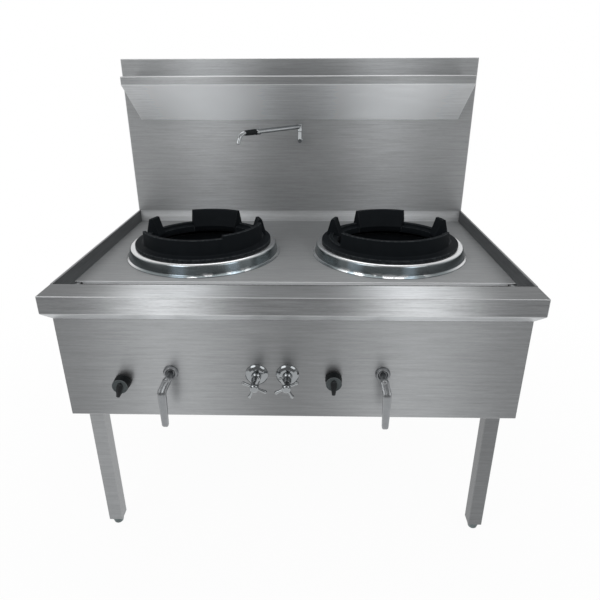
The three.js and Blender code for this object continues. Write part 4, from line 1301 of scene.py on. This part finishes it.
@dataclass(frozen=True)
class RingPlan:
    """Where a wok ring's lugs and guard stand, in degrees from +x."""

    rear: float
    guard: tuple[float, float]
    raised: tuple[float, float] | None = None
    sides: tuple[float, float] = (20.0, 160.0)


@dataclass
class BurnerStation:
    """One collar, pot, burner and cast wok ring."""

    bench: Bench
    side: Side
    plan: RingPlan
    # collar
    lip: float = 7 * MM
    lip_edge: float = 1.6 * MM
    lip_rise: float = 4.5 * MM
    crown: float = 9 * MM
    flare: float = 13 * MM
    throat: float = 190 * MM
    skirt: float = 22 * MM
    wall: float = 3 * MM
    # wok ring, heights above the collar
    spigot: float = 14 * MM
    spigot_gap: float = 1.2 * MM
    flange: float = 207 * MM
    flange_height: float = 8 * MM
    outer: float = 184 * MM
    inner: float = 173 * MM
    mouth: float = 160 * MM
    dish: float = 3 * MM
    bead: float = 4 * MM
    low_top: float = 16 * MM
    guard_top: float = 56 * MM
    raised_top: float = 64 * MM
    lug_foot: float = 30 * MM
    lug_sink: float = 1 * MM
    lug_tip: float = 10 * MM
    lug_shoulder: float = 34 * MM
    lug_shoulder_in: float = 18 * MM
    lug_spread: float = 14 * MM
    rear_arc: float = 53.0
    side_arc: float = 14.0
    draft: float = 1.1  # degrees over which a wall rises
    # pot and burner
    pot_edge: float = 1.5 * MM
    burner_edge: float = 1 * MM

    def build(self) -> None:
        """Builds the station from the collar to the burner."""
        side = self.side.value
        self.collar()
        self.wok_ring()
        self.bench.folded(f"pot_casting_{side}", IRON, f"combustion_pot_{side}", self.pot_edge)
        self.bench.folded(f"burner_casting_{side}", IRON, f"burner_{side}", self.burner_edge)

    def collar(self) -> None:
        """The spun collar, with a flared lip and a rolled top."""
        node = f"burner_collar_{self.side.value}"
        low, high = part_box(node)
        foot = self.bench.model.foot(node)
        base = (high.x - low.x) / 2
        top = base - self.flare
        height = high.z - low.z
        under = height - self.wall
        hem = height - self.skirt
        profile = rounded([
            (base, 0, 0.4 * MM), (base, self.lip_edge, 0.8 * MM), (base - self.lip, self.lip_rise, 4 * MM),
            (top, height, self.crown), (self.throat, height, 1.5 * MM), (self.throat, hem, 0.4 * MM),
            (self.throat + self.wall, hem, 0.4 * MM), (self.throat + self.wall, under, 1 * MM),
            (top - self.wall, under, self.crown / 2), (base - self.lip - self.wall, 0, 0.4 * MM)], 6)
        obj = lathe(f"collar_spinning_{self.side.value}", profile, Matrix.Translation(foot), 160)
        # The collar's axis and foot place the finish's painted reflection pools and glints.
        centre = (round(abs(foot.x), 4), round(foot.y, 4))
        self.bench.dress(obj, PolishedSteel(centre, round(foot.z, 4)), "root", node)

    def wok_ring(self) -> None:
        """The cast ring: flange, low wall, front guard, rear lug and two side lugs."""
        node = f"wok_ring_{self.side.value}"
        place = Matrix.Translation(self.bench.model.foot(node) + Vector((0, 0, self.spigot)))
        sections = [spun(self.ring_section(angle), math.radians(angle), place)
                    for angle in self.ring_angles()]
        obj = loft(f"wok_ring_casting_{self.side.value}", sections, ring=True)
        self.bench.dress(obj, IRON, f"ring_{self.side.value}", node)

    def ring_angles(self) -> list[float]:
        """Angles of the ring's sections, close together where a wall rises.

        Returns:
            Degrees, rising from 0.
        """
        angles = {3.0 * i for i in range(120)}
        for start, end, _ in self.risers():
            for edge in (start, end):
                angles.update((edge + self.draft * k / 4) % 360 for k in range(-4, 5))
        return sorted(angles)

    def risers(self) -> list[tuple[float, float, str]]:
        """The stretches that stand above the low wall.

        Returns:
            Start angle, end angle and kind of each.
        """
        half = self.rear_arc / 2
        stretches = [(self.plan.rear - half, self.plan.rear + half, "lug")]
        stretches += [(at - self.side_arc / 2, at + self.side_arc / 2, "lug") for at in self.plan.sides]
        stretches.append((*self.plan.guard, "guard"))
        if self.plan.raised:
            stretches.append((*self.plan.raised, "raised"))
        return stretches

    def share(self, angle: float, start: float, end: float) -> float:
        """How much of a stretch stands at an angle.

        Args:
            angle: The angle, in degrees.
            start: Where the stretch begins.
            end: Where it ends.

        Returns:
            0 outside, 1 inside, with a slanted side over the draft.
        """
        rise = (angle - start + self.draft / 2) / self.draft
        fall = (end + self.draft / 2 - angle) / self.draft
        return max(0.0, min(1.0, rise, fall))

    def ring_section(self, angle: float) -> list[Point]:
        """The ring's outline at an angle.

        Args:
            angle: Degrees from +x.

        Returns:
            Radius and height of each point, in the same order at every angle.
        """
        top = self.low_top
        lug = 0.0
        for start, end, kind in self.risers():
            share = self.share(angle, start, end)
            height = self.raised_top if kind == "raised" else self.guard_top
            top = max(top, self.low_top + share * (height - self.low_top))
            if kind == "lug":
                lug = max(lug, share)
        ledge = self.flange_height - self.dish
        root = ledge - self.lug_sink
        foot_height = self.flange_height - lug * (self.dish + self.lug_sink)
        if lug < 0.02:
            shoulder_height = (self.flange_height + top) / 2
        else:
            shoulder_share = (self.lug_shoulder - foot_height) / (self.guard_top - foot_height)
            shoulder_height = foot_height + (top - foot_height) * shoulder_share

        def outside(height: float) -> float:
            """Radius of the outer face, which slants out towards a lug's foot."""
            return self.outer + lug * self.lug_spread * (self.guard_top - height) / (self.guard_top - root)

        def inside(depth: float) -> float:
            """Radius of the inner face, which a lug thickens to a depth from the outer face."""
            return self.inner + lug * (self.outer - depth - self.inner)

        foot = inside(self.lug_foot)
        collar = self.throat - self.spigot_gap
        above_bead = self.flange_height + self.bead
        return rounded([
            (self.mouth, -self.spigot, 1 * MM), (collar, -self.spigot, 1.5 * MM), (collar, 0, 1 * MM),
            (self.flange, 0, 1.2 * MM), (self.flange, self.flange_height, 2.2 * MM),
            (outside(self.flange_height) + (1 - lug) * self.bead, self.flange_height, 1.5 * MM),
            (outside(above_bead), above_bead, 1.5 * MM),
            (outside(min(top, self.guard_top)), top, 2.4 * MM), (inside(self.lug_tip), top, 2.4 * MM),
            (inside(self.lug_shoulder_in), shoulder_height, 3 * MM), (foot, foot_height, 2 * MM),
            (min(self.mouth, foot), ledge if lug < 0.5 else root, 1.5 * MM)], 3)


@dataclass
class GasAndWater:
    """The pipes, valves and spindles behind the panel."""

    bench: Bench

    def build(self) -> None:
        """Dresses what is left of the CAD pieces inside the casing."""
        self.fitting("gas_manifold", PIPE, "root")
        for node in ("faucet_water_pipe", "gutter_water_pipe", "water_supply_pipe"):
            self.fitting(node, COPPER, "root")
        for side in Side:
            self.fitting(f"lever_valve_{side.value}", BRASS, "root")
            self.fitting(f"pilot_valve_{side.value}", BRASS, "root")
            self.fitting(f"pilot_tube_{side.value}", COPPER, "root")
            self.fitting(f"knob_spindle_{side.value}", BRASS, f"spindle_{side.value}")

    def fitting(self, node: str, finish: Finish, body: str) -> None:
        """A smooth copy of a CAD node."""
        obj = mesh_object(f"{node}_fitting", merged_copy(self.bench.model.nodes[node]), 40.0)
        self.bench.dress(obj, finish, body, node)


@dataclass
class PilotKnob:
    """A black pointer knob."""

    bench: Bench
    side: Side
    turn: float
    skirt_radius: float = 21 * MM
    skirt_height: float = 5 * MM
    body_radius: float = 20 * MM
    length: float = 24 * MM
    gap: float = 5 * MM  # to the panel
    dish: float = 1 * MM  # depth of the pale face
    pointer: float = 31 * MM
    blade_back: float = 12 * MM  # behind the axis
    blade: float = 7.5 * MM  # half width of the pointer at the axis
    blade_tip: float = 4.5 * MM
    blade_rise: float = 6 * MM
    blade_rows: int = 14
    round_end: float = 0.3  # share of the blade that its round end takes
    crest_bend: float = 0.55  # share of the blade after which its crest falls
    crest_fall: float = 3 * MM
    flank_drop: float = 2.6 * MM

    def build(self) -> None:
        """Builds the knob: skirt, tapered body and ridged pointer."""
        at = self.bench.model.pivot(f"knob_turn_{self.side.value}")
        place = facing_front(at, self.turn)
        back, face = self.gap, self.gap + self.length
        skirt = back + self.skirt_height
        wide, body = self.skirt_radius, self.body_radius
        barrel = lathe("knob_body", rounded([
            (0, back, 0), (wide, back, 0.6 * MM), (wide, skirt, 0.4 * MM),
            (body + 0.6 * MM, skirt + 1 * MM, 0.4 * MM), (body, face, 1 * MM),
            (body - 2.5 * MM, face, 0.5 * MM), (body - 3.5 * MM, face - self.dish, 0.6 * MM),
            (0, face - self.dish, 0)]), place, 72)
        obj = joined(f"pointer_knob_{self.side.value}", (barrel, self.pointer_blade(place, skirt, face)))
        self.bench.dress(obj, BLACK, f"knob_{self.side.value}", f"control_knob_{self.side.value}")
        front = at.y - face - 0.1 * MM
        rear = front + self.dish + 0.4 * MM
        self.bench.accent(obj, KNOB_FACE, lambda side: side.normal.y < -0.5 and front < side.center.y < rear)

    def pointer_blade(self, place: Matrix, skirt: float, face: float) -> Piece:
        """The teardrop pointer with a ridge along its middle.

        Args:
            place: The knob's place.
            skirt: Height at which the blade starts.
            face: Height of the knob's face.

        Returns:
            The pointer.
        """
        sections = []
        for i in range(self.blade_rows + 1):
            t = i / self.blade_rows
            along = self.blade_back - t * (self.blade_back + self.pointer)
            before = max(0.0, 1 - t / self.round_end)
            past = max(0.0, t - self.round_end) / (1 - self.round_end)
            swell = math.sqrt(1 - before ** 2)
            half = max(0.4 * MM, swell * (self.blade_tip + (self.blade - self.blade_tip) * (1 - past)))
            fall = max(0.0, t - self.crest_bend) / (1 - self.crest_bend)
            crest = face + self.blade_rise - self.crest_fall * fall
            flank = crest - self.flank_drop
            shape = rounded([
                (-half, skirt, 0), (half, skirt, 0), (half, flank, 0.8 * MM), (0.0, crest, 0.6 * MM),
                (-half, flank, 0.8 * MM)], 2)
            sections.append([place @ Vector((x, along, z)) for x, z in shape])
        return loft("knob_blade", sections)


@dataclass
class KneeLever:
    """A dulled chrome knee lever with its round flange."""

    bench: Bench
    side: Side
    jog: float  # the paddle's place, sideways from the stem
    stem: float = 7.5 * MM
    elbow: float = 9.5 * MM
    reach: float = 38 * MM
    step: float = 25 * MM
    fall: float = 20 * MM
    knee: float = 20 * MM  # below the fall, where the paddle is straight
    paddle: float = 100 * MM
    width: float = 21 * MM
    thick: float = 10 * MM
    taper: float = 5 * MM
    flange: float = 19 * MM
    flange_height: float = 9 * MM

    def build(self) -> None:
        """Builds the flange and the lever."""
        at = self.bench.model.pivot(f"lever_swing_{self.side.value}")
        place = facing_front(at)
        hole = self.stem + 0.4 * MM
        crest = self.flange - 5 * MM
        flange = lathe(f"lever_flange_turned_{self.side.value}", rounded([
            (hole, FIT, 0.3 * MM), (self.flange, FIT, 0.5 * MM), (self.flange, 3.5 * MM, 2 * MM),
            (crest + 1.5 * MM, self.flange_height, 1 * MM), (crest - 1 * MM, self.flange_height, 1 * MM),
            (hole + 1.5 * MM, 4.5 * MM, 1.5 * MM), (hole, 5.5 * MM, 0.3 * MM)]), place, 72)
        self.bench.dress(flange, DULL_CHROME, "root", f"lever_flange_{self.side.value}")
        self.lever(at, place)

    def lever(self, at: Vector, place: Matrix) -> None:
        """The stem, ball elbow, slanted bar and paddle.

        Args:
            at: The lever's axis on the panel.
            place: The matrix of the panel's face there.
        """
        node = f"knee_lever_{self.side.value}"
        rear = self.bench.model.high(node).y - at.y
        route = [at + Vector((0, rear, 0)), at + Vector((0, -self.reach, 0))]
        stem = self.bench.pipe("lever_stem", DULL_CHROME, route, self.stem, 0)
        ball = lathe("lever_ball", ball_outline(self.reach, self.elbow, range(-90, 91, 15)), place)
        obj = joined(f"knee_lever_bar_{self.side.value}", (stem, ball, self.bar(at)))
        self.bench.dress(obj, DULL_CHROME, f"lever_{self.side.value}", node)

    def middle_line(self) -> list[Point]:
        """The bar's middle line, from the elbow to the paddle's lower end.

        Returns:
            How far each point is out of the panel and above the axis.
        """
        outer = self.reach + self.step
        low = -self.fall - self.paddle
        return [(self.reach - 1 * MM, 1 * MM), (self.reach + 3 * MM, -2 * MM),
                (outer - 5 * MM, 1 * MM - self.fall), (outer - 1 * MM, -self.fall - 3 * MM),
                (outer, -self.fall - 9 * MM), (outer, -self.fall - self.knee), (outer, low + 12 * MM),
                (outer, low + 5 * MM), (outer, low + 1.5 * MM), (outer, low)]

    def bar(self, at: Vector) -> Piece:
        """The slanted bar and the hanging paddle, one flat bar with two soft ridges.

        Args:
            at: The lever's axis on the panel.

        Returns:
            The bar.
        """
        line = self.middle_line()
        last = len(line) - 1
        insets = {last: 3.2 * MM, last - 1: 1.2 * MM}
        sections = []
        for i, (out, height) in enumerate(line):
            run = (Vector(line[min(last, i + 1)]) - Vector(line[max(0, i - 1)])).normalized()
            face = Vector((-run.y, run.x))
            if face.x < 0:
                face.negate()
            sunk = (-self.fall - self.knee - height) / (self.paddle - self.knee)
            inset = insets.get(i, 0.0)
            half = self.width / 2 - self.taper / 2 * max(0.0, min(1.0, sunk))
            wide = half - inset
            depth = self.thick / 2 - min(inset, 2.4 * MM)
            shape = rounded([
                (-wide, -depth, 1.2 * MM), (wide, -depth, 1.2 * MM), (wide, depth * 0.72, 2 * MM),
                (0.45 * half, depth, 2 * MM), (0.0, depth * 0.86, 2 * MM), (-0.45 * half, depth, 2 * MM),
                (-wide, depth * 0.72, 2 * MM)], 3)
            shift = self.jog * max(0.0, min(1.0, -height / self.fall))
            sections.append([at + Vector((x + shift, -(out + face.x * d), height + face.y * d))
                             for x, d in shape])
        return loft("lever_bar", sections)


@dataclass
class CrossTap:
    """A chrome tap: escutcheon, bonnet and cross handle."""

    bench: Bench
    side: Side
    turn: float
    escutcheon: float = 29 * MM
    escutcheon_height: float = 9 * MM
    bonnet: float = 12 * MM
    bonnet_length: float = 42 * MM
    neck: float = 8.5 * MM
    gland: float = 11 * MM
    stem: float = 5 * MM
    cross: float = 60 * MM
    spokes: int = 4
    spoke: float = 33 * MM
    spoke_radius: float = 3.6 * MM
    tip_radius: float = 4.8 * MM
    hub: float = 11 * MM
    hub_length: float = 20 * MM

    def build(self) -> None:
        """Builds the fixed body and the turning handle."""
        at = self.bench.model.pivot(f"tap_turn_{self.side.value}")
        place = facing_front(at)
        hole, wide, height = self.bonnet + FIT, self.escutcheon, self.escutcheon_height
        shield = lathe(f"tap_escutcheon_dome_{self.side.value}", rounded([
            (hole, FIT, 0.2 * MM), (wide, FIT, 0.5 * MM), (wide, 1.5 * MM, 2 * MM),
            (wide - 4 * MM, 5 * MM, 5 * MM), (wide - 10 * MM, height - 1 * MM, 5 * MM),
            (hole + 1.5 * MM, height, 1 * MM), (hole, height, 0.3 * MM)], 5), place, 80)
        self.bench.dress(shield, TAP_CHROME, "root", f"tap_escutcheon_{self.side.value}")
        self.body(at, place)
        self.handle(facing_front(at, self.turn))

    def body(self, at: Vector, place: Matrix) -> None:
        """The bonnet with its gland nut, on the body behind the panel.

        Args:
            at: The tap's axis on the panel.
            place: The matrix of the panel's face there.
        """
        node = f"tap_body_{self.side.value}"
        rear = at.y - self.bench.model.high(node).y
        obj = lathe(f"tap_bonnet_{self.side.value}", rounded([
            (0, rear, 0), (self.bonnet, rear, 0.5 * MM), (self.bonnet, 16 * MM, 2 * MM),
            (self.neck, 19 * MM, 1 * MM), (self.neck, 22 * MM, 1 * MM), (self.gland, 24 * MM, 1.5 * MM),
            (self.gland, 31 * MM, 1.5 * MM), (self.stem + 3 * MM, self.bonnet_length, 1 * MM),
            (self.stem, self.bonnet_length, 0.5 * MM), (self.stem, self.cross, 0.3 * MM),
            (0, self.cross, 0)]), place, 64)
        self.bench.dress(obj, TAP_CHROME, "root", node)

    def handle(self, place: Matrix) -> None:
        """The cross handle: a domed hub and four spokes with rounded ends.

        Args:
            place: The handle's place and turn.
        """
        low, high = self.cross - self.hub_length / 2, self.cross + self.hub_length / 2
        hub = lathe("tap_hub", rounded([
            (0, low, 0), (self.hub, low, 1 * MM), (self.hub, high - 3 * MM, 2.5 * MM),
            (self.hub - 4 * MM, high, 2 * MM), (0, high, 0)]), place, 56)
        neck = self.spoke - self.tip_radius
        line = [(0.0, 0.4 * MM), (self.spoke_radius, 0.5 * MM), (self.spoke_radius, 0.8 * neck),
                (self.tip_radius, neck), *ball_outline(neck, self.tip_radius, range(18, 91, 18))]
        outwards = Matrix.Translation((0, 0, self.cross)) @ Matrix.Rotation(math.pi / 2, 4, "Y")
        spoke = lathe("tap_spoke", line, outwards, 28)
        spokes = self.bench.repeat(spoke, TAP_CHROME, self.spokes, place)
        obj = joined(f"tap_cross_{self.side.value}", (hub, spokes))
        self.bench.dress(obj, TAP_CHROME, f"tap_{self.side.value}", f"tap_handle_{self.side.value}")


@dataclass
class Faucet:
    """The swing faucet on the splashback."""

    bench: Bench
    tube: float = 7.5 * MM
    heading: float = 229.5  # degrees from +x
    arm_length: float = 190 * MM
    arm_rise: float = 16 * MM
    cap: float = 26 * MM
    pivot_radius: float = 3.5 * MM
    pivot_height: float = 14 * MM
    foot_drop: float = 32 * MM
    foot_bend: float = 9 * MM
    nut_length: float = 18 * MM
    nut_radius: float = 10 * MM
    grip_length: float = 46 * MM
    grip_radius: float = 9 * MM
    grip_waist: float = 0.35  # share of the grip after which it tapers
    rib: float = 0.6 * MM
    rib_width: float = 0.9 * MM
    ribs: int = 20
    spout: float = 6.5 * MM
    spout_wall: float = 1.5 * MM
    spout_depth: float = 12 * MM
    spout_route: tuple[Point, ...] = ((0, 0), (6, 0), (14, -4), (21, -11), (26, -20), (30, -30))  # mm

    def build(self) -> None:
        """Builds the riser, the arm, the grip and the spout."""
        pivot = self.bench.model.pivot("faucet_swing")
        at = Vector((pivot.x, pivot.y, pivot.z - self.arm_rise))
        self.riser(at)
        swing = Matrix.Translation(at) @ Matrix.Rotation(math.radians(self.heading), 4, "Z")
        along = swing @ Matrix.Translation((0, 0, self.arm_rise)) @ Matrix.Rotation(math.pi / 2, 4, "Y")
        self.arm(swing, along)
        self.grip(along)
        self.outlet(swing)

    def riser(self, at: Vector) -> None:
        """The elbow out of the splashback, with its wall collar and pivot.

        Args:
            at: The swivel seam on the riser's axis.
        """
        foot = at - Vector((0, 0, self.foot_drop))
        back = Vector((at.x, self.bench.model.high("faucet_riser").y, foot.z))
        pipe = self.bench.pipe("riser_pipe", CHROME, [back, foot, at], self.tube, self.foot_bend)
        wall = Matrix.Translation((at.x, self.bench.model.low("splashback_skin").y, foot.z))
        bore, wide = self.tube - 0.5 * MM, self.tube + 2 * MM
        rose = lathe("riser_rose", rounded([
            (bore, FIT, 0), (wide, FIT, 0.3 * MM), (wide, 1 * MM, 0.6 * MM),
            (self.tube + 1 * MM, 2.5 * MM, 0.6 * MM), (bore, 2.5 * MM, 0)]),
            wall @ Matrix.Rotation(math.pi / 2, 4, "X"))
        ends = (-1 * MM, self.pivot_height)
        pin = [(0, ends[0]), (self.pivot_radius, ends[0]), (self.pivot_radius, ends[1]), (0, ends[1])]
        pivot = lathe("riser_pivot", pin, Matrix.Translation(at), 24)
        obj = joined("faucet_riser_chrome", (pipe, rose, pivot))
        self.bench.dress(obj, CHROME, "root", "faucet_riser")

    def arm(self, swing: Matrix, along: Matrix) -> None:
        """The swivel head, the arm and its union nut.

        Args:
            swing: The swivel seam, turned to the arm's heading.
            along: The arm's axis as the z axis.
        """
        wide = self.tube + 1 * MM
        bore, bore_top = self.pivot_radius + FIT, self.pivot_height + FIT
        head = lathe("arm_head", rounded([
            (bore, FIT, 0), (wide, FIT, 1.5 * MM), (wide, self.cap, 2.5 * MM), (0, self.cap, 0),
            (0, bore_top, 0), (bore, bore_top, 0)], 6), swing)
        start, end = self.arm_length, self.arm_length + self.nut_length
        line = [(0, 2 * MM), (self.tube, 2 * MM), (self.tube, start), (0, start)]
        tube = lathe("arm_tube", line, along, 40)
        nut = self.nut_radius
        union = lathe("arm_nut", rounded([
            (0, start - 2 * MM, 0), (nut - 1.5 * MM, start - 2 * MM, 0.5 * MM), (nut, start, 0.8 * MM),
            (nut, start + 3.2 * MM, 0.8 * MM), (nut - 1.4 * MM, start + 4.6 * MM, 0.8 * MM),
            (nut, start + 6 * MM, 0.8 * MM), (nut, end - 0.5 * MM, 0.5 * MM), (nut - 1 * MM, end, 0.3 * MM),
            (0, end, 0)], 3), along)
        obj = joined("faucet_arm_chrome", (head, tube, union))
        self.bench.dress(obj, CHROME, "faucet", "faucet_arm")

    def grip(self, along: Matrix) -> None:
        """The ribbed black grip behind the spout.

        Args:
            along: The arm's axis as the z axis.
        """
        start = self.arm_length + self.nut_length + FIT
        waist, end = start + self.grip_waist * self.grip_length, start + self.grip_length
        core = self.grip_radius - self.rib
        sleeve = lathe("grip_sleeve", rounded([
            (0, start, 0), (core, start, 1 * MM), (core, waist, 0), (core - 1 * MM, end, 1 * MM),
            (0, end, 0)], 3), along, 60)
        sections = []
        for z, r in ((start + 2 * MM, core), (waist, core), (end - 2 * MM, core - 0.9 * MM)):
            foot, top = r - self.rib / 2, r + self.rib
            outline = ((foot, -1.0), (top, -0.5), (top, 0.5), (foot, 1.0))
            sections.append([Vector((radius, share * self.rib_width, z)) for radius, share in outline])
        ribs = self.bench.repeat(loft("grip_rib", sections), BLACK, self.ribs, along)
        obj = joined("faucet_grip_ribbed", (sleeve, ribs))
        self.bench.dress(obj, BLACK, "faucet", "faucet_grip")

    def outlet(self, swing: Matrix) -> None:
        """The bent spout, open at its tip.

        Args:
            swing: The swivel seam, turned to the arm's heading.
        """
        start = self.arm_length + self.nut_length + self.grip_length + 2 * FIT
        corners = [Vector((start + out * MM, 0, self.arm_rise + up * MM)) for out, up in self.spout_route]
        line = smooth_line(corners, 6)
        rings = []
        for before, at, after in zip([line[0], *line], line, [*line[1:], line[-1]]):
            rings.append(circle_across(at, (after - before).normalized(), self.spout))
        tip, run = line[-1], (line[-1] - line[-2]).normalized()
        for depth in (0.0, self.spout_depth):
            rings.append(circle_across(tip - run * depth, run, self.spout - self.spout_wall))
        obj = loft("faucet_spout_chrome", [[swing @ point for point in ring] for ring in rings])
        self.bench.dress(obj, CHROME, "faucet", "faucet_spout")


# ---------------------------------------------------------------- studio


@dataclass
class Studio:
    """The camera, lamps, floor and background."""

    camera_at: tuple[float, float, float] = (0.0514, -1.5403, 1.2937)
    pitch: float = 23.61  # degrees down
    yaw: float = 1.437  # degrees to the left
    roll: float = -0.23
    focal: float = 535.71 / 600  # of the picture's width
    sensor: float = 36.0
    aim_height: float = 0.8  # that the lamps look at
    floor_radius: float = 14.0
    floor_colour: float = 0.9
    shadow_reach: tuple[float, float] = (0.7, 2.2)  # where the floor's shadow starts and ends to fade
    shadow_glow: float = 0.96  # of the floor's white, inside that reach
    fill: float = 0.55  # light of the surroundings on matt surfaces
    shade: float = 0.3  # surroundings behind the camera, as metal shows them
    shade_reach: tuple[float, float] = (-0.8, 0.3)  # towards y, between shade and full light

    def build(self) -> None:
        """Sets the camera, the light and the floor."""
        self.camera()
        self.lamp("key_softbox", (-1.7, -2.3, 2.7), 1.6, 18.0)
        self.lamp("fill_softbox", (1.9, -2.1, 2.3), 1.4, 10.0)
        self.lamp("top_softbox", (0.0, 1.2, 3.4), 2.4, 22.0)
        self.world()
        self.floor()
        bpy.context.scene.view_settings.view_transform = "Standard"

    def camera(self) -> None:
        """Stands the camera where the photograph was taken from."""
        data = bpy.data.cameras.new("photo_camera")
        data.sensor_width = self.sensor
        data.lens = self.focal * self.sensor
        camera = linked("photo_camera", data)
        turn = (Matrix.Rotation(math.radians(self.yaw), 4, "Z")
                @ Matrix.Rotation(math.radians(90 - self.pitch), 4, "X")
                @ Matrix.Rotation(math.radians(self.roll), 4, "Z"))
        camera.matrix_world = Matrix.Translation(self.camera_at) @ turn
        bpy.context.scene.camera = camera

    def lamp(self, name: str, at: tuple[float, float, float], size: float, power: float) -> None:
        """Hangs a square softbox that looks at the range.

        Args:
            name: The lamp's name.
            at: Its place.
            size: Its width and height.
            power: Its power in watts.
        """
        data = bpy.data.lights.new(name, "AREA")
        data.size = size
        data.energy = power
        towards = Vector((0, 0, self.aim_height)) - Vector(at)
        turn = towards.to_track_quat("-Z", "Y").to_matrix().to_4x4()
        linked(name, data).matrix_world = Matrix.Translation(at) @ turn

    def world(self) -> None:
        """A white background, and surroundings for metal that darken behind the camera."""
        world = bpy.data.worlds.new("studio")
        bpy.context.scene.world = world
        world.use_nodes = True
        world.node_tree.nodes.clear()
        wiring = Wiring(world.node_tree)
        ray = wiring.add("ShaderNodeLightPath").outputs
        towards = wiring.parts(wiring.add("ShaderNodeTexCoord").outputs["Generated"])
        fade = wiring.spread(towards["Y"], *self.shade_reach, self.shade, 1.0)
        fill, gloss, seen = (wiring.add("ShaderNodeBackground") for _ in range(3))
        for background, strength in ((fill, self.fill), (gloss, fade), (seen, 1.0)):
            wiring.join(strength, background.inputs["Strength"])
        for background in (fill, seen):
            wiring.join(WHITE, background.inputs["Color"])
        mirror = wiring.math("MAXIMUM", ray["Is Glossy Ray"], ray["Is Transmission Ray"])
        light = wiring.mix(mirror, fill.outputs[0], gloss.outputs[0])
        surface = wiring.mix(ray["Is Camera Ray"], light, seen.outputs[0])
        wiring.join(surface, wiring.add("ShaderNodeOutputWorld").inputs["Surface"])

    def floor(self) -> None:
        """A plain white floor that keeps a soft shadow."""
        bm = bmesh.new()
        bmesh.ops.create_circle(bm, cap_ends=True, radius=self.floor_radius, segments=64)
        mesh = bpy.data.meshes.new("studio_floor")
        bm.to_mesh(mesh)
        bm.free()
        shader = Shader("studio_floor")
        shader.set(Base_Color=(*[self.floor_colour] * 3, 1.0), Roughness=0.9, Specular_IOR_Level=0.0)
        ray = shader.add("ShaderNodeLightPath").outputs
        seen = shader.math("ADD", ray["Is Camera Ray"], ray["Is Glossy Ray"])
        seen = shader.math("MINIMUM", shader.math("ADD", seen, ray["Is Transmission Ray"]), 1.0)
        glow = shader.add("ShaderNodeEmission")
        glow.inputs["Strength"].default_value = 1.0
        reach = shader.add("ShaderNodeVectorMath", operation="LENGTH")
        shader.join(shader.coordinates(), reach.inputs[0])
        white = shader.spread(reach.outputs["Value"], *self.shadow_reach, self.shadow_glow, 1.0)
        share = shader.math("MULTIPLY", seen, white)
        surface = shader.mix(share, shader.principled.outputs[0], glow.outputs[0])
        shader.join(surface, shader.tree.nodes["Material Output"].inputs["Surface"])
        mesh.materials.append(shader.material)
        linked("studio_floor", mesh)


# ---------------------------------------------------------------- the range

RING_PLANS = {
    Side.LEFT: RingPlan(rear=86.0, guard=(209.0, 354.0), raised=(298.0, 354.0)),
    Side.RIGHT: RingPlan(rear=94.0, guard=(213.0, 331.0)),
}
KNOB_TURNS = {Side.LEFT: 16.0, Side.RIGHT: 0.0}  # degrees clockwise
TAP_TURNS = {Side.LEFT: 25.0, Side.RIGHT: -29.0}
LEVER_JOGS = {Side.LEFT: -10 * MM, Side.RIGHT: 5 * MM}


def plain(box: tuple[Sequence[float], Sequence[float]]) -> list[list[float]]:
    """A box as plain lists of numbers."""
    return [[float(part) for part in corner] for corner in box]


def main() -> None:
    """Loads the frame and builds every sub-assembly."""
    logging.basicConfig(level=logging.INFO, format="%(message)s")
    model = Model.load()
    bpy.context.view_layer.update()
    bench = Bench(model, FinishRack())
    parts = [Sheetwork(bench), Understructure(bench), GasAndWater(bench), Faucet(bench)]
    for side in Side:
        parts.append(BurnerStation(bench, side, RING_PLANS[side]))
        parts.append(PilotKnob(bench, side, KNOB_TURNS[side]))
        parts.append(KneeLever(bench, side, LEVER_JOGS[side]))
        parts.append(CrossTap(bench, side, TAP_TURNS[side]))
    for part in parts:
        part.build()
        log.info("%s done", type(part).__name__)
    Studio().build()


if __name__ == "__main__":
    main()
